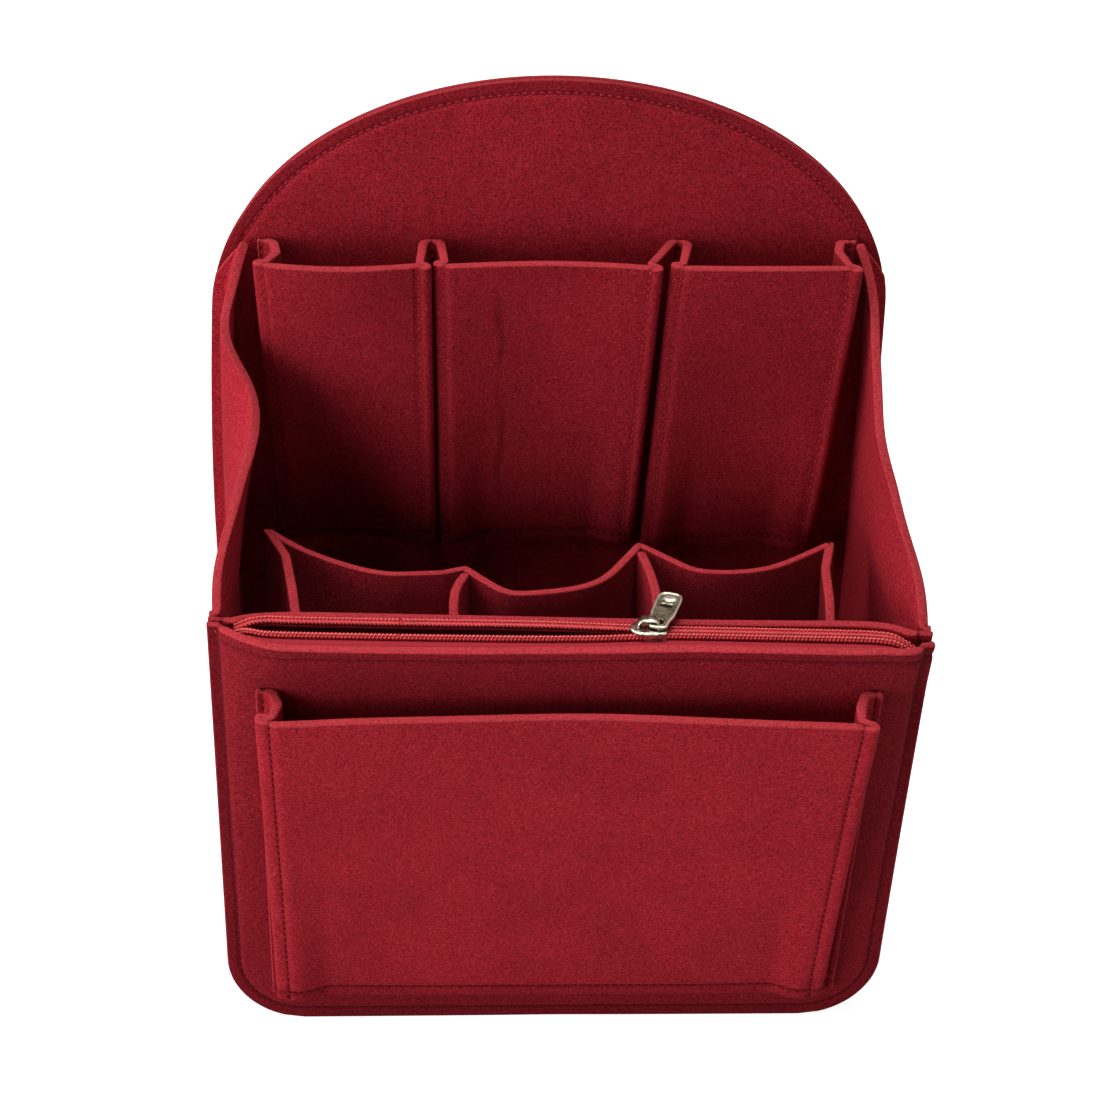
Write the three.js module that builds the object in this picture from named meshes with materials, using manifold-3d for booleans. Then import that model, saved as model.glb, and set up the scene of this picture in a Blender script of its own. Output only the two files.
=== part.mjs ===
// Felt organiser insert for a backpack: a tall arched back panel, a low front panel,
// one gusset strip round both sides and the bottom, a zip pocket in the front wall and
// three sets of pleated pockets. Millimetres, +Z up, the front faces -Y.

import * as THREE from 'three';
import { mergeVertices } from 'three/addons/utils/BufferGeometryUtils.js';
import Module from 'manifold-3d';

const wasm = await Module();
wasm.setup();

// Overall sizes
const body_width = 260;
const body_depth = 115;
const back_height = 352;
const arch_start_height = 264;
const front_height = 188;
const corner_radius = 30;
const gusset_back_height = 289;

// Felt and seams
const felt_thickness = 3.5;
const seam_gap = 0.3;
const lip_width = 5;
const bend_inner_radius = 0.5;

// How the soft front wall stands: it leans out, more at the right, and bows
const front_lean_left = 5.5;
const front_lean_right = 17.5;
const front_top_shift = 4;
const lean_exponent = 1.3;
const front_bulge = 9.5;
const front_flat_width = 4;
const wall_bulge = 6.5;
const wall_flat_width = 9;
const bulge_side_exponent = 18;
const bulge_rise_exponent = 1.5;

// The back panel's sides swell out below the arch, mostly at the left
const back_swell_left = 8.5;
const back_swell_right = 1.5;
const back_swell_top = 300;

// Free slanting edges of the gusset, which sag into the bag and spring out again
const sag_left = 13;
const sag_right = 8.5;
const sag_reach = 90;
const edge_dip = 4;
const gusset_level_exponent = 1.5;
const left_sag_shares = [0, 0.08, 0.32, 0.7, 1, 0.6, -0.3, -0.3, 0];
const right_sag_shares = [0, 0.05, 0.3, 0.6, 0.9, 0.85, 0.5, 0.15, 0];

// Pleats: a pinched ridge is the felt folded flat on itself and sewn through
const ridge_width = 5.5;
const flange_width = 6;
const valley_width = 8;
const pleat_clear_width = 3;
const pleat_face_shares = [0, 0.18, 0.34, 0.5, 0.66, 0.82, 1];

// Front patch pocket
const front_pocket_side_margin = 22;
const front_pocket_bottom = 14;
const front_pocket_top_drop = 26;
const front_pocket_rise = 3;
const front_pocket_depth = 19;
const front_pocket_return_rise = 4;
const front_pocket_foot_inset = 2;
const front_pocket_bow = 5;

// Three back pockets made from one pleated strip
const back_pocket_bottom = 157;
const back_pocket_top = 290;
const back_pocket_depth = 27;
const back_pocket_side_margin = 17;
const back_pocket_foot_shift = 7;
const back_valley_left = -47;
const back_valley_right = 41;
const back_valley_left_slit = 0.6;
const back_valley_right_slit = 3;
const back_valley_right_drift = 6;
const back_bow_left = 5;
const back_bow_middle = -4;
const back_bow_right = 0;

// Three inner pockets on the rear of the zip pocket wall
const inner_pocket_bottom = 50;
const inner_pocket_top_drop = 1;
const inner_pocket_depth = 60;
const inner_pocket_side_margin = 17;
const inner_left_foot_inset = 14;
const inner_right_foot_inset = 17;
const inner_spread_exponent = 0.7;
const inner_left_x_shares = [-1, -0.86, -0.65, -0.51, -0.4];
const inner_left_depth_shares = [1, 0.71, 0.48, 0.45, 0.47];
const inner_middle_x_shares = [-0.325, -0.22, -0.12, 0.08, 0.2];
const inner_middle_depth_shares = [0.525, 0.3, 0.25, 0.35, 0.6];
const inner_right_x_shares = [0.275, 0.385, 0.48, 0.65, 0.79, 0.93];
const inner_right_depth_shares = [0.83, 0.63, 0.525, 0.545, 0.675, 0.87];
const inner_return_depth_share = 0.65;
const inner_return_x_share = 0.43;

// Two dividers, each sewn to the wall by a flange and to a kink of the strip
const left_divider_foot = -41;
const left_divider_bow = -2;
const left_divider_end_gap = 4.4;
const right_divider_foot = 33;
const right_divider_bow = 1.5;
const right_divider_end_gap = 6;
const divider_bottom_share = 0.12;

// Zip: two coils on two tapes, open from the left end to the slider
const zip_end_margin = 13;
const chain_drop = 0.8;
const chain_rear_shift = 0.8;
const coil_width = 2.8;
const coil_height = 2;
const tape_thickness = 0.8;
const tape_gap = 0.6;
const tape_bend = 1;
const tape_drop = 12;
const lens_half_gap = 2.75;
const lens_opening_length = 20;
const lens_closing_length = 61;

// Slider
const slider_x = 28.2;
const slider_length = 13.5;
const slider_width = 9.8;
const plate_thickness = 1.4;
const post_length = 1.8;
const post_width = 1.3;
const post_setback = 1;
const slider_wall_length = 8.2;
const slider_mouth_half_width = 4.15;
const slider_tail_half_width = 3.4;
const plate_length_shares = [-0.5, -0.4, -0.22, 0.05, 0.34, 0.5];
const plate_width_shares = [0.1, 0.3, 0.47, 0.5, 0.46, 0.34];

// Bail: a bridge along the slider's top plate
const bail_length = 8.8;
const bail_height = 4.2;
const bail_width = 2;
const bail_leg = 1.5;
const bail_bar = 1.4;
const bail_corner = 1.2;

// Pull tab: its eye lies round the bail's tail leg, and it points back over the wall
const tab_length = 22;
const tab_width = 8.6;
const tab_thickness = 1.2;
const tab_eye_radius = 1.75;
const tab_eye_margin = 1.5;
const tab_corner = 2.4;
const tab_neck_width = 6.4;
const tab_neck_length = 5;
const tab_turn_degrees = 80;
const tab_tilt_degrees = 6;

// Faceting
const arc_steps = 2;
const arch_steps = 16;
const side_steps = 6;
const circle_steps = 24;
const panel_inset_shares = [0, 0.03, 0.07, 0.095, 0.125, 0.17, 0.25, 0.4, 0.62, 1];
const panel_rows = 5;
const gusset_wall_steps = 9;
const gusset_side_steps = 6;
const gusset_arc_steps = 4;
const pocket_levels = 5;
const zip_steps = 40;
const miter_limit = 1.6;

// Planes and clearances worked out from the sizes
const half_width = body_width / 2;
const front_face_y = -body_depth / 2;
const back_face_y = body_depth / 2;
const layer_pitch = felt_thickness + seam_gap;
const layer_base = seam_gap + felt_thickness / 2;
const chain_z = front_height - chain_drop;
const zip_half_length = half_width - zip_end_margin;
const front_pocket_half_width = half_width - front_pocket_side_margin;
const front_pocket_top = front_height - front_pocket_top_drop;
const back_pocket_half_width = half_width - back_pocket_side_margin;
const inner_pocket_half_width = half_width - inner_pocket_side_margin;
const inner_pocket_top = front_height - inner_pocket_top_drop;
const inner_left_foot = -inner_pocket_half_width + inner_left_foot_inset;
const inner_right_foot = inner_pocket_half_width - inner_right_foot_inset;

const lerp = THREE.MathUtils.lerp;
const clamp = THREE.MathUtils.clamp;
const smoothstep = THREE.MathUtils.smoothstep;

// The front stack moves as one; behind it the shift fades to nothing at the back panel
const front_stack_depth = 3 * layer_pitch;

function settle(x, y, z) {
  const fade = (back_face_y - y) / (body_depth - front_stack_depth);
  const frontness = clamp(fade, 0, 1);
  const rise = clamp(z / front_height, 0, 1);
  const side = clamp((x + half_width) / body_width, 0, 1);
  const lean = lerp(front_lean_left, front_lean_right, side) * rise ** lean_exponent;
  return new THREE.Vector3(x + front_top_shift * rise * frontness, y - lean * frontness, z);
}

// Reads a table of values spread evenly from 0 to 1, with a smooth curve between them
function readTable(table, share) {
  const place = clamp(share, 0, 1) * (table.length - 1);
  const low = Math.min(Math.floor(place), table.length - 2);
  return lerp(table[low], table[low + 1], smoothstep(place - low, 0, 1));
}

// Closed solid between two equal grids of points, with the rims joined
function slab(front, back) {
  const rows = front.length;
  const columns = front[0].length;
  const positions = [];
  for (const grid of [front, back]) {
    for (const row of grid) {
      for (const point of row) positions.push(point.x, point.y, point.z);
    }
  }
  const index = [];
  const at = (layer, i, j) => layer * rows * columns + i * columns + j;
  const quad = (a, b, c, d) => index.push(a, b, c, a, c, d);
  for (let i = 0; i < rows - 1; i++) {
    for (let j = 0; j < columns - 1; j++) {
      quad(at(0, i, j), at(0, i, j + 1), at(0, i + 1, j + 1), at(0, i + 1, j));
      quad(at(1, i, j), at(1, i + 1, j), at(1, i + 1, j + 1), at(1, i, j + 1));
    }
  }
  for (let j = 0; j < columns - 1; j++) {
    quad(at(0, 0, j), at(1, 0, j), at(1, 0, j + 1), at(0, 0, j + 1));
    const last = rows - 1;
    quad(at(0, last, j), at(0, last, j + 1), at(1, last, j + 1), at(1, last, j));
  }
  for (let i = 0; i < rows - 1; i++) {
    quad(at(0, i, 0), at(0, i + 1, 0), at(1, i + 1, 0), at(1, i, 0));
    const last = columns - 1;
    quad(at(0, i, last), at(1, i, last), at(1, i + 1, last), at(0, i + 1, last));
  }
  const geometry = new THREE.BufferGeometry();
  geometry.setAttribute('position', new THREE.Float32BufferAttribute(positions, 3));
  geometry.setIndex(signedVolume(positions, index) < 0 ? index.reverse() : index);
  return geometry;
}

function signedVolume(positions, index) {
  const corner = (k) => new THREE.Vector3().fromArray(positions, 3 * index[k]);
  let total = 0;
  for (let k = 0; k < index.length; k += 3) {
    total += corner(k).dot(corner(k + 1).cross(corner(k + 2)));
  }
  return total / 6;
}

// Panel outlines
function rowHalfWidth(z) {
  if (z >= corner_radius) return half_width;
  const rise = corner_radius - z;
  return half_width - corner_radius + Math.sqrt(Math.max(corner_radius ** 2 - rise ** 2, 0));
}

function archHalfWidth(z) {
  if (z <= arch_start_height) return rowHalfWidth(z);
  const share = (z - arch_start_height) / (back_height - arch_start_height);
  return half_width * Math.sqrt(Math.max(1 - share ** 2, 0));
}

function backSwell(z, side) {
  const rise = clamp(z / back_swell_top, 0, 1);
  return (side < 0 ? back_swell_left : back_swell_right) * Math.sin(Math.PI * rise);
}

// Distance in from the sewn outline of the front wall
function insetFromEdge(x, z) {
  const across = Math.abs(x) - (half_width - corner_radius);
  if (across > 0 && z < corner_radius) {
    return corner_radius - Math.hypot(across, corner_radius - z);
  }
  return Math.min(half_width - Math.abs(x), z);
}

// How far a layer of the zip pocket bows out, from 0 at the seams to 1
function bulgeShare(x, z, flat_width) {
  const inset = insetFromEdge(x, z) - flat_width;
  const across = clamp(inset / (half_width - flat_width), 0, 1);
  const rise = clamp(z / front_height, 0, 1) ** bulge_rise_exponent;
  return (1 - (1 - across) ** bulge_side_exponent) * rise;
}

function frontFace(x, z) {
  return front_face_y - front_bulge * bulgeShare(x, z, front_flat_width);
}

function wallFace(x, z) {
  return front_face_y + layer_pitch + wall_bulge * bulgeShare(x, z, wall_flat_width);
}

function wallRear(x, z) {
  return wallFace(x, z) + felt_thickness;
}

// Flat back panels: round lower corners, swelling sides and an arched top
function backOutline(side) {
  const levels = [];
  for (let k = 0; k < gusset_arc_steps; k++) {
    const angle = (Math.PI / 2) * (k / gusset_arc_steps);
    levels.push(corner_radius * (1 - Math.cos(angle)));
  }
  for (let k = 0; k < side_steps; k++) {
    levels.push(lerp(corner_radius, arch_start_height, k / side_steps));
  }
  for (let k = 0; k < arch_steps; k++) {
    const angle = (Math.PI / 2) * (k / arch_steps);
    levels.push(lerp(arch_start_height, back_height, Math.sin(angle)));
  }
  return levels.map((z) => new THREE.Vector2(side * (archHalfWidth(z) + backSwell(z, side)), z));
}

function archPanel(layers) {
  const right = backOutline(1);
  const left = backOutline(-1);
  const outline = [...right, new THREE.Vector2(0, back_height), ...left.reverse()];
  const options = { depth: felt_thickness, bevelEnabled: false };
  const geometry = new THREE.ExtrudeGeometry(new THREE.Shape(outline), options);
  geometry.rotateX(Math.PI / 2);
  geometry.translate(0, back_face_y + felt_thickness + layers * layer_pitch, 0);
  return geometry;
}

// Curved panels of the front wall, as two faces over one grid of places
function wallPanel(face) {
  const inward = panel_inset_shares.map((share) => 1 - share);
  const columns = [...inward.map((share) => -share), ...inward.slice(0, -1).reverse()];
  const levels = [];
  for (let k = 0; k < gusset_arc_steps; k++) {
    const angle = (Math.PI / 2) * (k / gusset_arc_steps);
    levels.push(corner_radius * (1 - Math.cos(angle)));
  }
  for (let k = 0; k <= panel_rows; k++) {
    levels.push(lerp(corner_radius, front_height, k / panel_rows));
  }
  const grid = (offset) => levels.map((z) => columns.map((share) => {
    const x = share * rowHalfWidth(z);
    return settle(x, face(x, z) + offset, z);
  }));
  return slab(grid(0), grid(felt_thickness));
}

// Gusset: flange, bend, wall, bend and flange across; side, bottom and side along
const bend_radius = bend_inner_radius + felt_thickness / 2;
const gusset_front_y = front_face_y + 2 * layer_pitch + felt_thickness / 2;
const gusset_back_y = back_face_y - layer_base;
const gusset_wall_inset = lip_width + felt_thickness / 2;

function gussetProfile(offset) {
  const points = [];
  const push = (inset, y, normal_inset, normal_y) => {
    points.push({ inset: inset + offset * normal_inset, y: y + offset * normal_y });
  };
  const bend = (y, first, last) => {
    for (let k = 0; k <= arc_steps; k++) {
      const angle = lerp(first, last, k / arc_steps);
      const out = Math.cos(angle);
      const along = Math.sin(angle);
      push(gusset_wall_inset - bend_radius + bend_radius * out, y + bend_radius * along, out, along);
    }
  };
  push(0, gusset_front_y, 0, -1);
  bend(gusset_front_y + bend_radius, -Math.PI / 2, 0);
  for (let k = 1; k < gusset_wall_steps; k++) {
    const share = k / gusset_wall_steps;
    const y = lerp(gusset_front_y + bend_radius, gusset_back_y - bend_radius, share);
    push(gusset_wall_inset, y, 1, 0);
  }
  bend(gusset_back_y - bend_radius, 0, Math.PI / 2);
  push(0, gusset_back_y, 0, 1);
  return points;
}

function gussetSide(side, inset, y, fall) {
  const share = clamp((y - gusset_front_y) / (gusset_back_y - gusset_front_y), 0, 1);
  const dip = edge_dip * Math.sin(Math.PI * share) ** 2;
  const top = lerp(front_height, gusset_back_height, share) - dip;
  const z = lerp(top, corner_radius, fall);
  const outline = lerp(half_width, archHalfWidth(z) + backSwell(z, side), share);
  const shares = side < 0 ? left_sag_shares : right_sag_shares;
  const depth = clamp(1 - (top - z) / sag_reach, 0, 1) ** 2;
  const sag = (side < 0 ? sag_left : sag_right) * readTable(shares, share) * depth;
  return settle(side * (outline - inset - sag), y, z);
}

function gussetArc(side, inset, y, turn) {
  const angle = (Math.PI / 2) * turn;
  const radius = corner_radius - inset;
  const z = corner_radius - radius * Math.sin(angle);
  const share = clamp((y - gusset_front_y) / (gusset_back_y - gusset_front_y), 0, 1);
  const x = half_width - corner_radius + radius * Math.cos(angle);
  return settle(side * (x + share * backSwell(z, side)), y, z);
}

function gusset() {
  const rows = [];
  for (const side of [-1, 1]) {
    const falls = [];
    for (let k = 0; k < gusset_side_steps; k++) {
      const fall = (k / gusset_side_steps) ** gusset_level_exponent;
      falls.push((inset, y) => gussetSide(side, inset, y, fall));
    }
    for (let k = 0; k <= gusset_arc_steps; k++) {
      falls.push((inset, y) => gussetArc(side, inset, y, k / gusset_arc_steps));
    }
    rows.push(...(side < 0 ? falls : falls.reverse()));
  }
  const grid = (offset) => {
    const profile = gussetProfile(offset);
    return rows.map((place) => profile.map((point) => place(point.inset, point.y)));
  };
  return slab(grid(felt_thickness / 2), grid(-felt_thickness / 2));
}

// Plan path of a pleated strip: x along the wall, d out from it. A corner with a radius
// becomes a short arc, and one without stays a point.
function roundPath(corners) {
  const path = [];
  corners.forEach((corner, k) => {
    const here = new THREE.Vector2(corner.x, corner.d);
    if (!corner.radius) {
      path.push(here);
      return;
    }
    const before = new THREE.Vector2(corners[k - 1].x, corners[k - 1].d).sub(here);
    const after = new THREE.Vector2(corners[k + 1].x, corners[k + 1].d).sub(here);
    const room = Math.min(before.length(), after.length()) / 2;
    before.normalize();
    after.normalize();
    const half_angle = Math.acos(clamp(before.dot(after), -1, 1)) / 2;
    const radius = Math.min(corner.radius, room * Math.tan(half_angle));
    const reach = radius / Math.tan(half_angle);
    const start = here.clone().addScaledVector(before, reach);
    const end = here.clone().addScaledVector(after, reach);
    const middle = before.clone().add(after).normalize();
    const centre = here.clone().addScaledVector(middle, radius / Math.sin(half_angle));
    const first = start.clone().sub(centre).angle();
    let sweep = end.clone().sub(centre).angle() - first;
    if (sweep > Math.PI) sweep -= 2 * Math.PI;
    if (sweep < -Math.PI) sweep += 2 * Math.PI;
    const steps = 2 * arc_steps - 1;
    for (let i = 0; i <= steps; i++) {
      const angle = first + sweep * (i / steps);
      path.push(new THREE.Vector2(
        centre.x + radius * Math.cos(angle),
        centre.y + radius * Math.sin(angle),
      ));
    }
  });
  return path;
}

// The path moved sideways by an offset, with mitred corners
function offsetPath(path, offset) {
  return path.map((point, k) => {
    const before = path[Math.max(k - 1, 0)];
    const after = path[Math.min(k + 1, path.length - 1)];
    const into = point.clone().sub(before);
    const out = after.clone().sub(point);
    if (k === 0) into.copy(out);
    if (k === path.length - 1) out.copy(into);
    into.normalize();
    out.normalize();
    const along = into.clone().add(out).normalize();
    const miter = Math.min(1 / Math.max(along.dot(into), 1 / miter_limit), miter_limit);
    return new THREE.Vector2(
      point.x - along.y * offset * miter,
      point.y + along.x * offset * miter,
    );
  });
}

// A strip that hangs on a wall: its plan path at each level, put on that wall's face
function pleatedStrip(cornersAt, place, bottom, top, levels) {
  const grid = (offset) => {
    const rows = [];
    for (let k = 0; k <= levels; k++) {
      const rise = k / levels;
      const path = offsetPath(roundPath(cornersAt(rise)), offset);
      rows.push(path.map((point) => place(point.x, point.y, lerp(bottom, top, rise))));
    }
    return rows;
  };
  return slab(grid(felt_thickness / 2), grid(-felt_thickness / 2));
}

const fold_radius = layer_pitch / 2;
const folded_depth = layer_base + 2 * layer_pitch;

const bend = (x, d) => ({ x, d, radius: fold_radius });
const point = (x, d) => ({ x, d });

// A pinched ridge: the strip comes up to the face level, folds and runs on. The side
// is -1 where the face lies to the right of the fold, and 1 where it lies to the left.
function ridge(x, depth, side) {
  const back = [
    bend(x - side * (ridge_width + fold_radius), depth - layer_pitch),
    bend(x, depth - layer_pitch),
    bend(x, depth),
  ];
  return side < 0 ? back : back.reverse();
}

// The face between two ridges, bowed out or in, and straight beside each ridge
function face(left, right, depth, bow) {
  const clear = ridge_width + fold_radius + pleat_clear_width;
  return pleat_face_shares.map((share) => {
    const x = lerp(left + clear, right - clear, share);
    return point(x, depth + bow * Math.sin(Math.PI * share) ** 2);
  });
}

// Front patch pocket
function frontPocketCorners(rise) {
  const depth = lerp(folded_depth, front_pocket_depth, rise);
  const bow = -lerp(folded_depth - layer_base, front_pocket_bow, rise);
  const edge = front_pocket_half_width;
  const foot = edge - front_pocket_foot_inset;
  return [
    point(-foot - flange_width, layer_base),
    bend(-foot, layer_base),
    ...ridge(-edge, depth, -1),
    ...face(-edge, edge, depth, bow),
    ...ridge(edge, depth, 1),
    bend(foot, layer_base),
    point(foot + flange_width, layer_base),
  ];
}

function frontPocketPlace(x, d, z) {
  const across = clamp(x / front_pocket_half_width, -1, 1);
  const rise = (z - front_pocket_bottom) / (front_pocket_top - front_pocket_bottom);
  const middle = front_pocket_rise * (1 - across ** 2);
  const root = front_pocket_return_rise * clamp(1 - d / front_pocket_depth, 0, 1);
  const height = z + (middle + root) * rise;
  return settle(x, frontFace(x, height) - d, height);
}

// Back pockets: three faces, two valleys sewn to the back panel, and two end flanges
function backPocketCorners(rise) {
  const depth = lerp(folded_depth, back_pocket_depth, rise);
  const flat = -(folded_depth - layer_base);
  const fall = 1 - rise;
  const left = -back_pocket_half_width + fall * pleat_clear_width;
  const right = back_pocket_half_width - fall * back_pocket_foot_shift;
  const first = back_valley_left;
  const second = back_valley_right - fall * back_valley_right_drift;
  const foldAside = (slit) => (slit + felt_thickness) / 2;
  const valley = (middle) => [
    bend(middle - valley_width / 2 - fold_radius, layer_base),
    bend(middle + valley_width / 2 + fold_radius, layer_base),
  ];
  const first_aside = foldAside(back_valley_left_slit);
  const second_aside = foldAside(back_valley_right_slit);
  const bowAt = (bow) => lerp(flat, bow, rise);
  return [
    point(left + front_pocket_foot_inset - flange_width, layer_base),
    bend(left + front_pocket_foot_inset, layer_base),
    ...ridge(left, depth, -1),
    ...face(left, first - first_aside, depth, bowAt(back_bow_left)),
    ...ridge(first - first_aside, depth, 1),
    ...valley(first),
    ...ridge(first + first_aside, depth, -1),
    ...face(first + first_aside, second - second_aside, depth, bowAt(back_bow_middle)),
    ...ridge(second - second_aside, depth, 1),
    ...valley(second),
    ...ridge(second + second_aside, depth, -1),
    ...face(second + second_aside, right, depth, bowAt(back_bow_right)),
    ...ridge(right, depth, 1),
    bend(right - front_pocket_foot_inset, layer_base),
    point(right - front_pocket_foot_inset + flange_width, layer_base),
  ];
}

function backPocketPlace(x, d, z) {
  return settle(x, back_face_y - d, z);
}

// Inner pockets: one strip that swings between its two feet and two dividers
function innerDepth(share, rise) {
  return lerp(layer_base + layer_pitch, inner_pocket_depth * share, rise ** inner_spread_exponent);
}

function innerPoints(x_shares, depth_shares, rise) {
  return x_shares.map((share, k) => {
    return point(share * inner_pocket_half_width, innerDepth(depth_shares[k], rise));
  });
}

function innerReturn(foot, corner_share, depth_share, rise) {
  const corner = corner_share * inner_pocket_half_width;
  const depth = lerp(layer_base, innerDepth(depth_share, rise), inner_return_depth_share);
  return point(lerp(foot, corner, inner_return_x_share), depth);
}

function innerPocketCorners(rise) {
  const last = inner_right_x_shares.length - 1;
  return [
    point(inner_left_foot + flange_width, layer_base),
    point(inner_left_foot, layer_base),
    innerReturn(inner_left_foot, inner_left_x_shares[0], inner_left_depth_shares[0], rise),
    ...innerPoints(inner_left_x_shares, inner_left_depth_shares, rise),
    ...innerPoints(inner_middle_x_shares, inner_middle_depth_shares, rise),
    ...innerPoints(inner_right_x_shares, inner_right_depth_shares, rise),
    innerReturn(inner_right_foot, inner_right_x_shares[last], inner_right_depth_shares[last], rise),
    point(inner_right_foot, layer_base),
    point(inner_right_foot - flange_width, layer_base),
  ];
}

// A divider: flange on the wall, then across to just inside the kink of the strip
function dividerCorners(foot, bow, kink, depth_share, end_gap, flange_side) {
  return (share) => {
    const rise = lerp(divider_bottom_share, 1, share);
    const end = innerDepth(depth_share, rise) - end_gap;
    const middle = (layer_base + end) / 2;
    return [
      point(foot + flange_side * flange_width, layer_base),
      bend(foot, layer_base),
      point((foot + kink) / 2 + bow * rise, middle),
      point(kink, end),
    ];
  };
}

function innerPocketPlace(x, d, z) {
  return settle(x, wallRear(x, z) + d, z);
}

// Zip tapes: under the coil, out to the felt and down along it
function lensHalfGap(x) {
  const opening = smoothstep(x, -zip_half_length, -zip_half_length + lens_opening_length);
  const end = slider_x + slider_length / 2;
  const closing = clamp((x - end) / lens_closing_length + 1, 0, 1);
  return lens_half_gap * opening * (1 - closing ** 2);
}

function chainCentre(x) {
  const middle = (frontFace(x, chain_z) + felt_thickness + wallFace(x, chain_z)) / 2;
  const inset = zip_half_length - Math.abs(x);
  return middle + chain_rear_shift * smoothstep(inset, 0, lens_opening_length);
}

function alongZip(sectionAt) {
  const rows = [];
  for (let k = 0; k <= zip_steps; k++) {
    const x = lerp(-zip_half_length, zip_half_length, k / zip_steps);
    rows.push(sectionAt(x).map((spot) => settle(x, spot.x, spot.y)));
  }
  return rows;
}

const coil_gap = seam_gap / 2;
const tape_z = chain_z - coil_height / 2 - seam_gap - tape_thickness / 2;

function zipTape(side) {
  const seat = (x, z) => {
    const face_y = side < 0 ? frontFace(x, z) + felt_thickness : wallFace(x, z);
    return face_y - side * (tape_gap + tape_thickness / 2);
  };
  const grid = (offset) => alongZip((x) => {
    const inner = chainCentre(x) + side * (lensHalfGap(x) + coil_gap + seam_gap);
    const low = tape_z - tape_drop;
    return offsetPath(roundPath([
      point(inner, tape_z),
      { ...point(seat(x, tape_z), tape_z), radius: tape_bend },
      point(seat(x, low), low),
    ]), offset);
  });
  return slab(grid(tape_thickness / 2), grid(-tape_thickness / 2));
}

// A coil as one bar of eight sides, along its tape's inner edge
function zipCoil(side) {
  const grid = (up) => alongZip((x) => {
    const middle = chainCentre(x) + side * (lensHalfGap(x) + coil_gap + coil_width / 2);
    const half = coil_width / 2;
    const low = chain_z + up * coil_height / 4;
    const high = chain_z + up * coil_height / 2;
    return [
      new THREE.Vector2(middle - half, low),
      new THREE.Vector2(middle - half / 2, high),
      new THREE.Vector2(middle + half / 2, high),
      new THREE.Vector2(middle + half, low),
    ];
  });
  return slab(grid(1), grid(-1));
}

// Solids for cutting and joining, and back again
function solid(geometry) {
  const bare = geometry.clone();
  bare.deleteAttribute('normal');
  bare.deleteAttribute('uv');
  const merged = mergeVertices(bare);
  const mesh = new wasm.Mesh({
    numProp: 3,
    vertProperties: merged.attributes.position.array,
    triVerts: new Uint32Array(merged.index.array),
  });
  return new wasm.Manifold(mesh);
}

function geometryOf(body) {
  const mesh = body.getMesh();
  const geometry = new THREE.BufferGeometry();
  geometry.setAttribute('position', new THREE.BufferAttribute(mesh.vertProperties, mesh.numProp));
  geometry.setIndex(new THREE.BufferAttribute(mesh.triVerts, 1));
  return geometry;
}

// The slider lies along X, with its nose to -X and z = 0 at the coils' middle
const ceiling = coil_height / 2 + seam_gap;
const tape_top = -coil_height / 2 - seam_gap;
const slider_floor = tape_top - tape_thickness - seam_gap;
const slider_top = ceiling + plate_thickness;

function extrudeUp(shape, bottom, top) {
  const options = { depth: top - bottom, bevelEnabled: false, curveSegments: circle_steps / 4 };
  const geometry = new THREE.ExtrudeGeometry(shape, options);
  geometry.translate(0, 0, bottom);
  return geometry;
}

function plateShape() {
  const upper = plate_length_shares.map((share, k) => {
    return new THREE.Vector2(share * slider_length, plate_width_shares[k] * slider_width);
  });
  const lower = upper.map((spot) => new THREE.Vector2(spot.x, -spot.y)).reverse();
  return new THREE.Shape([...upper, ...lower]);
}

function sliderBody() {
  let body = solid(extrudeUp(plateShape(), ceiling, slider_top));
  body = body.add(solid(extrudeUp(plateShape(), slider_floor - plate_thickness, slider_floor)));
  const post_height = slider_top - slider_floor + plate_thickness;
  const post = new THREE.BoxGeometry(post_length, post_width, post_height);
  const post_x = -slider_length / 2 + post_setback + post_length / 2;
  post.translate(post_x, 0, slider_top - post_height / 2);
  body = body.add(solid(post));
  const cavity_start = slider_length / 2 - slider_wall_length;
  const end = slider_length;
  const channel = new THREE.Shape([
    new THREE.Vector2(-end, -end),
    new THREE.Vector2(cavity_start, -end),
    new THREE.Vector2(cavity_start, -slider_mouth_half_width),
    new THREE.Vector2(slider_length / 2, -slider_tail_half_width),
    new THREE.Vector2(end, -slider_tail_half_width),
    new THREE.Vector2(end, slider_tail_half_width),
    new THREE.Vector2(slider_length / 2, slider_tail_half_width),
    new THREE.Vector2(cavity_start, slider_mouth_half_width),
    new THREE.Vector2(cavity_start, end),
    new THREE.Vector2(-end, end),
  ]);
  const wall_bottom = tape_top + seam_gap;
  const walls = solid(extrudeUp(plateShape(), wall_bottom, slider_top));
  const cut = solid(extrudeUp(channel, wall_bottom - plate_thickness, ceiling));
  return geometryOf(body.add(walls.subtract(cut)));
}

function sliderBail() {
  const half = bail_length / 2;
  const inner = half - bail_leg;
  const under = bail_height - bail_bar;
  const shape = new THREE.Shape();
  shape.moveTo(-half, 0);
  shape.lineTo(-inner, 0);
  shape.lineTo(-inner, under);
  shape.lineTo(inner, under);
  shape.lineTo(inner, 0);
  shape.lineTo(half, 0);
  shape.lineTo(half, bail_height - bail_corner);
  shape.absarc(half - bail_corner, bail_height - bail_corner, bail_corner, 0, Math.PI / 2, false);
  shape.absarc(-half + bail_corner, bail_height - bail_corner, bail_corner, Math.PI / 2, Math.PI, false);
  const geometry = extrudeUp(shape, -bail_width / 2, bail_width / 2);
  geometry.rotateX(Math.PI / 2);
  geometry.translate(0, 0, slider_top + seam_gap);
  return geometry;
}

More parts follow.
